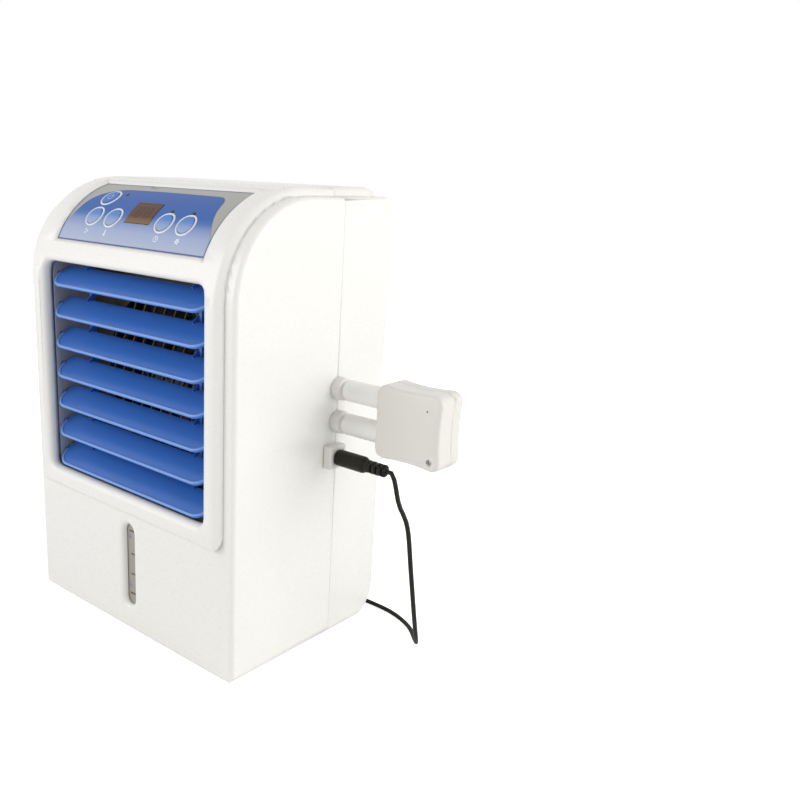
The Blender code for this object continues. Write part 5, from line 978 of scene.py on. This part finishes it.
# %% Node group of parallel rods
rods = bpy.data.node_groups.new("parallel_rods", "GeometryNodeTree")
rods.interface.new_socket("Geometry", in_out="OUTPUT", socket_type="NodeSocketGeometry")
for label, kind in (("Count", "NodeSocketInt"), ("Pitch", "NodeSocketFloat"),
                    ("Length", "NodeSocketFloat"), ("Radius", "NodeSocketFloat"),
                    ("Circle", "NodeSocketFloat"), ("Material", "NodeSocketMaterial")):
    rods.interface.new_socket(label, in_out="INPUT", socket_type=kind)
given = add_node(rods, "NodeGroupInput").outputs
steps = add_node(rods, "ShaderNodeMath", {0: given["Count"], 1: 1.0}, operation="SUBTRACT")
span = add_node(rods, "ShaderNodeMath", {0: steps.outputs[0], 1: given["Pitch"]}, operation="MULTIPLY")
start = add_node(rods, "ShaderNodeMath", {0: span.outputs[0], 1: -0.5}, operation="MULTIPLY")
first_point = add_node(rods, "ShaderNodeCombineXYZ", {"Z": start.outputs[0]})
offset = add_node(rods, "ShaderNodeCombineXYZ", {"Z": given["Pitch"]})
line = add_node(rods, "GeometryNodeMeshLine",
                {"Count": given["Count"], "Start Location": first_point.outputs[0],
                 "Offset": offset.outputs[0]}, mode="OFFSET")
rod = add_node(rods, "GeometryNodeMeshCylinder",
               {"Vertices": 8, "Radius": given["Radius"], "Depth": given["Length"]})
lying = add_node(rods, "GeometryNodeTransform",
                 {"Geometry": rod.outputs["Mesh"], "Rotation": (0, math.radians(90), 0)})
spot = add_node(rods, "GeometryNodeInputPosition")
height = add_node(rods, "ShaderNodeSeparateXYZ", {"Vector": spot.outputs[0]})
ratio = add_node(rods, "ShaderNodeMath", {0: height.outputs["Z"], 1: given["Circle"]},
                 operation="DIVIDE")
square = add_node(rods, "ShaderNodeMath", {0: ratio.outputs[0], 1: ratio.outputs[0]},
                  operation="MULTIPLY")
left = add_node(rods, "ShaderNodeMath", {0: 1.0, 1: square.outputs[0]}, operation="SUBTRACT")
root = add_node(rods, "ShaderNodeMath", {0: left.outputs[0]}, operation="SQRT")
stretch = add_node(rods, "ShaderNodeCombineXYZ", {"X": root.outputs[0], "Y": 1.0, "Z": 1.0})
placed = add_node(rods, "GeometryNodeInstanceOnPoints",
                  {"Points": line.outputs[0], "Instance": lying.outputs[0],
                   "Scale": stretch.outputs[0]})
real = add_node(rods, "GeometryNodeRealizeInstances", {"Geometry": placed.outputs[0]})
finished = add_node(rods, "GeometryNodeSetMaterial",
                    {"Geometry": real.outputs[0], "Material": given["Material"]})
add_node(rods, "NodeGroupOutput", {"Geometry": finished.outputs[0]})
sockets = {item.name: item.identifier for item in rods.interface.items_tree
           if item.in_out == "INPUT"}


def rod_mesh(values, place):
    """A plain mesh of parallel rods along X, stacked along Z, and put in place."""
    holder = linked("rods", bpy.data.meshes.new("rods"))
    modifier = holder.modifiers.new("rods", "NODES")
    modifier.node_group = rods
    for label, value in values.items():
        modifier[sockets[label]] = value
    mesh = evaluated_mesh(holder)
    holder.modifiers.clear()
    empty = holder.data
    bpy.data.objects.remove(holder)
    bpy.data.meshes.remove(empty)
    mesh.transform(place)
    return mesh


print("node group inputs:", list(sockets))

# %% [markdown]
# The filter is a woven net in the pull-out grille. The outlet guard is a dark plate with a round
# opening, and thin gold-brown wires cross it on a slant, which show between the upper blades. A
# circle far wider than the net leaves the net's threads at full length.

# %% Filter net and guard wires
NET_PITCH = 0.0024
NET_RADIUS = 0.00028
NO_CIRCLE = 10.0
EDGE_BAND = 0.003
EDGE_SHARE = 0.45
net_low, net_high = (Vector(corner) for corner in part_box("filter_mesh"))
net_size = net_high - net_low
net_middle = (net_low + net_high) / 2


def net_rods(spread, length, place):
    """The net's threads that run one way, spread over one of its sides."""
    return rod_mesh({"Count": int(spread / NET_PITCH), "Pitch": NET_PITCH, "Length": length,
                     "Radius": NET_RADIUS, "Circle": NO_CIRCLE, "Material": net_thread}, place)


across = net_rods(net_size.z, net_size.x,
                  Matrix.Translation(net_middle - Vector((0, NET_RADIUS, 0))))
upright = net_rods(net_size.x, net_size.z,
                   Matrix.Translation(net_middle + Vector((0, NET_RADIUS, 0)))
                   @ Matrix.Rotation(math.radians(90), 4, "Y"))
net = bmesh.new()
net.from_mesh(across)
net.from_mesh(upright)
edge_front = net_middle.y - net_size.y * EDGE_SHARE
edge_rear = net_middle.y + net_size.y * EDGE_SHARE
for x in (net_low.x, net_high.x - EDGE_BAND):
    add_block(net, (x, edge_front, net_low.z), (x + EDGE_BAND, edge_rear, net_high.z))
for z in (net_low.z, net_high.z - EDGE_BAND):
    add_block(net, (net_low.x + EDGE_BAND, edge_front, z),
              (net_high.x - EDGE_BAND, edge_rear, z + EDGE_BAND))
net_mesh = written("filter_net", net)
make_piece("filter_net", shade(net_mesh, 50), net_thread, "grille", "filter_mesh")

FAN_Z = 0.1725
GUARD_FRONT = 0.0308
GUARD_RADIUS = 0.0565
WIRE_SLANT = math.radians(-62)
wires = rod_mesh({"Count": 13, "Pitch": 0.009, "Length": GUARD_RADIUS * 2, "Radius": 0.0004,
                  "Circle": GUARD_RADIUS, "Material": gold_wire},
                 Matrix.Translation(at(0, GUARD_FRONT, FAN_Z)) @ Matrix.Rotation(WIRE_SLANT, 4, "Y"))
make_piece("guard_wires", shade(wires, 50), gold_wire, "host")
print("faces of the net:", len(net_mesh.polygons), "and of the wires:", len(wires.polygons))

# %% [markdown]
# The backdrop is the world's own white, full to the camera and in reflections and dimmer as light. The
# floor is a pale sheet that glows for the camera only, so it shows white and keeps the shadow.
# Three soft lamps light the object. The key stands at the right, which makes the side bright, as in the
# photograph.

# %% Floor, backdrop and lamps
WORLD_LIGHT = 0.55
KEY_POWER = 11.0
FILL_POWER = 11.6
TOP_POWER = 0.5
FLOOR_GLOW = 0.75
FLOOR_REACH = 1.6
world = bpy.data.worlds.new("studio")
bpy.context.scene.world = world
world.use_nodes = True
world_tree = world.node_tree
surround = world_tree.nodes["Background"]
surround.inputs["Color"].default_value = srgb("#ffffff")
rays = add_node(world_tree, "ShaderNodeLightPath")
seen = add_node(world_tree, "ShaderNodeMath", {0: rays.outputs["Is Camera Ray"],
                                               1: rays.outputs["Is Glossy Ray"]}, operation="MAXIMUM")
seen_too = add_node(world_tree, "ShaderNodeMath",
                    {0: seen.outputs["Value"], 1: rays.outputs["Is Transmission Ray"]},
                    operation="MAXIMUM")
strength = add_node(world_tree, "ShaderNodeMapRange",
                    {"Value": seen_too.outputs["Value"], "To Min": WORLD_LIGHT, "To Max": 1.0})
world_tree.links.new(strength.outputs["Result"], surround.inputs["Strength"])

floor_mesh = bpy.data.meshes.new("floor")
floor_corners = [(FLOOR_REACH * x, FLOOR_REACH * y, 0) for x, y in ((-1, -1), (1, -1), (1, 1), (-1, 1))]
floor_mesh.from_pydata(floor_corners, [], [(0, 1, 2, 3)])
floor = linked("floor", floor_mesh)
floor_paint, floor_tree, floor_shader = new_material("white_paper_sweep", 0.9)
floor_shader.inputs["Base Color"].default_value = srgb("#f6f6f6")
floor_rays = add_node(floor_tree, "ShaderNodeLightPath")
floor_glow = add_node(floor_tree, "ShaderNodeMath",
                      {0: floor_rays.outputs["Is Camera Ray"], 1: FLOOR_GLOW}, operation="MULTIPLY")
floor_shader.inputs["Emission Color"].default_value = srgb("#ffffff")
floor_tree.links.new(floor_glow.outputs["Value"], floor_shader.inputs["Emission Strength"])
floor_mesh.materials.append(floor_paint)


def soft_lamp(name, place, target, size, power):
    """A square area lamp that faces its target."""
    data = bpy.data.lights.new(name, "AREA")
    data.size = size
    data.energy = power
    lamp = linked(name, data)
    lamp.location = place
    lamp.rotation_euler = (target - place).to_track_quat("-Z", "Y").to_euler()


middle = at(0, 0.06, 0.15)
soft_lamp("key", middle + Vector((1.3, 0.4, 0.5)), middle, 1.0, KEY_POWER)
soft_lamp("fill", middle + Vector((-0.8, -1.3, 0.5)), middle, 1.2, FILL_POWER)
soft_lamp("top", middle + Vector((0.0, 0.2, 1.4)), middle, 1.0, TOP_POWER)
print("lamps:", len(bpy.data.lights))
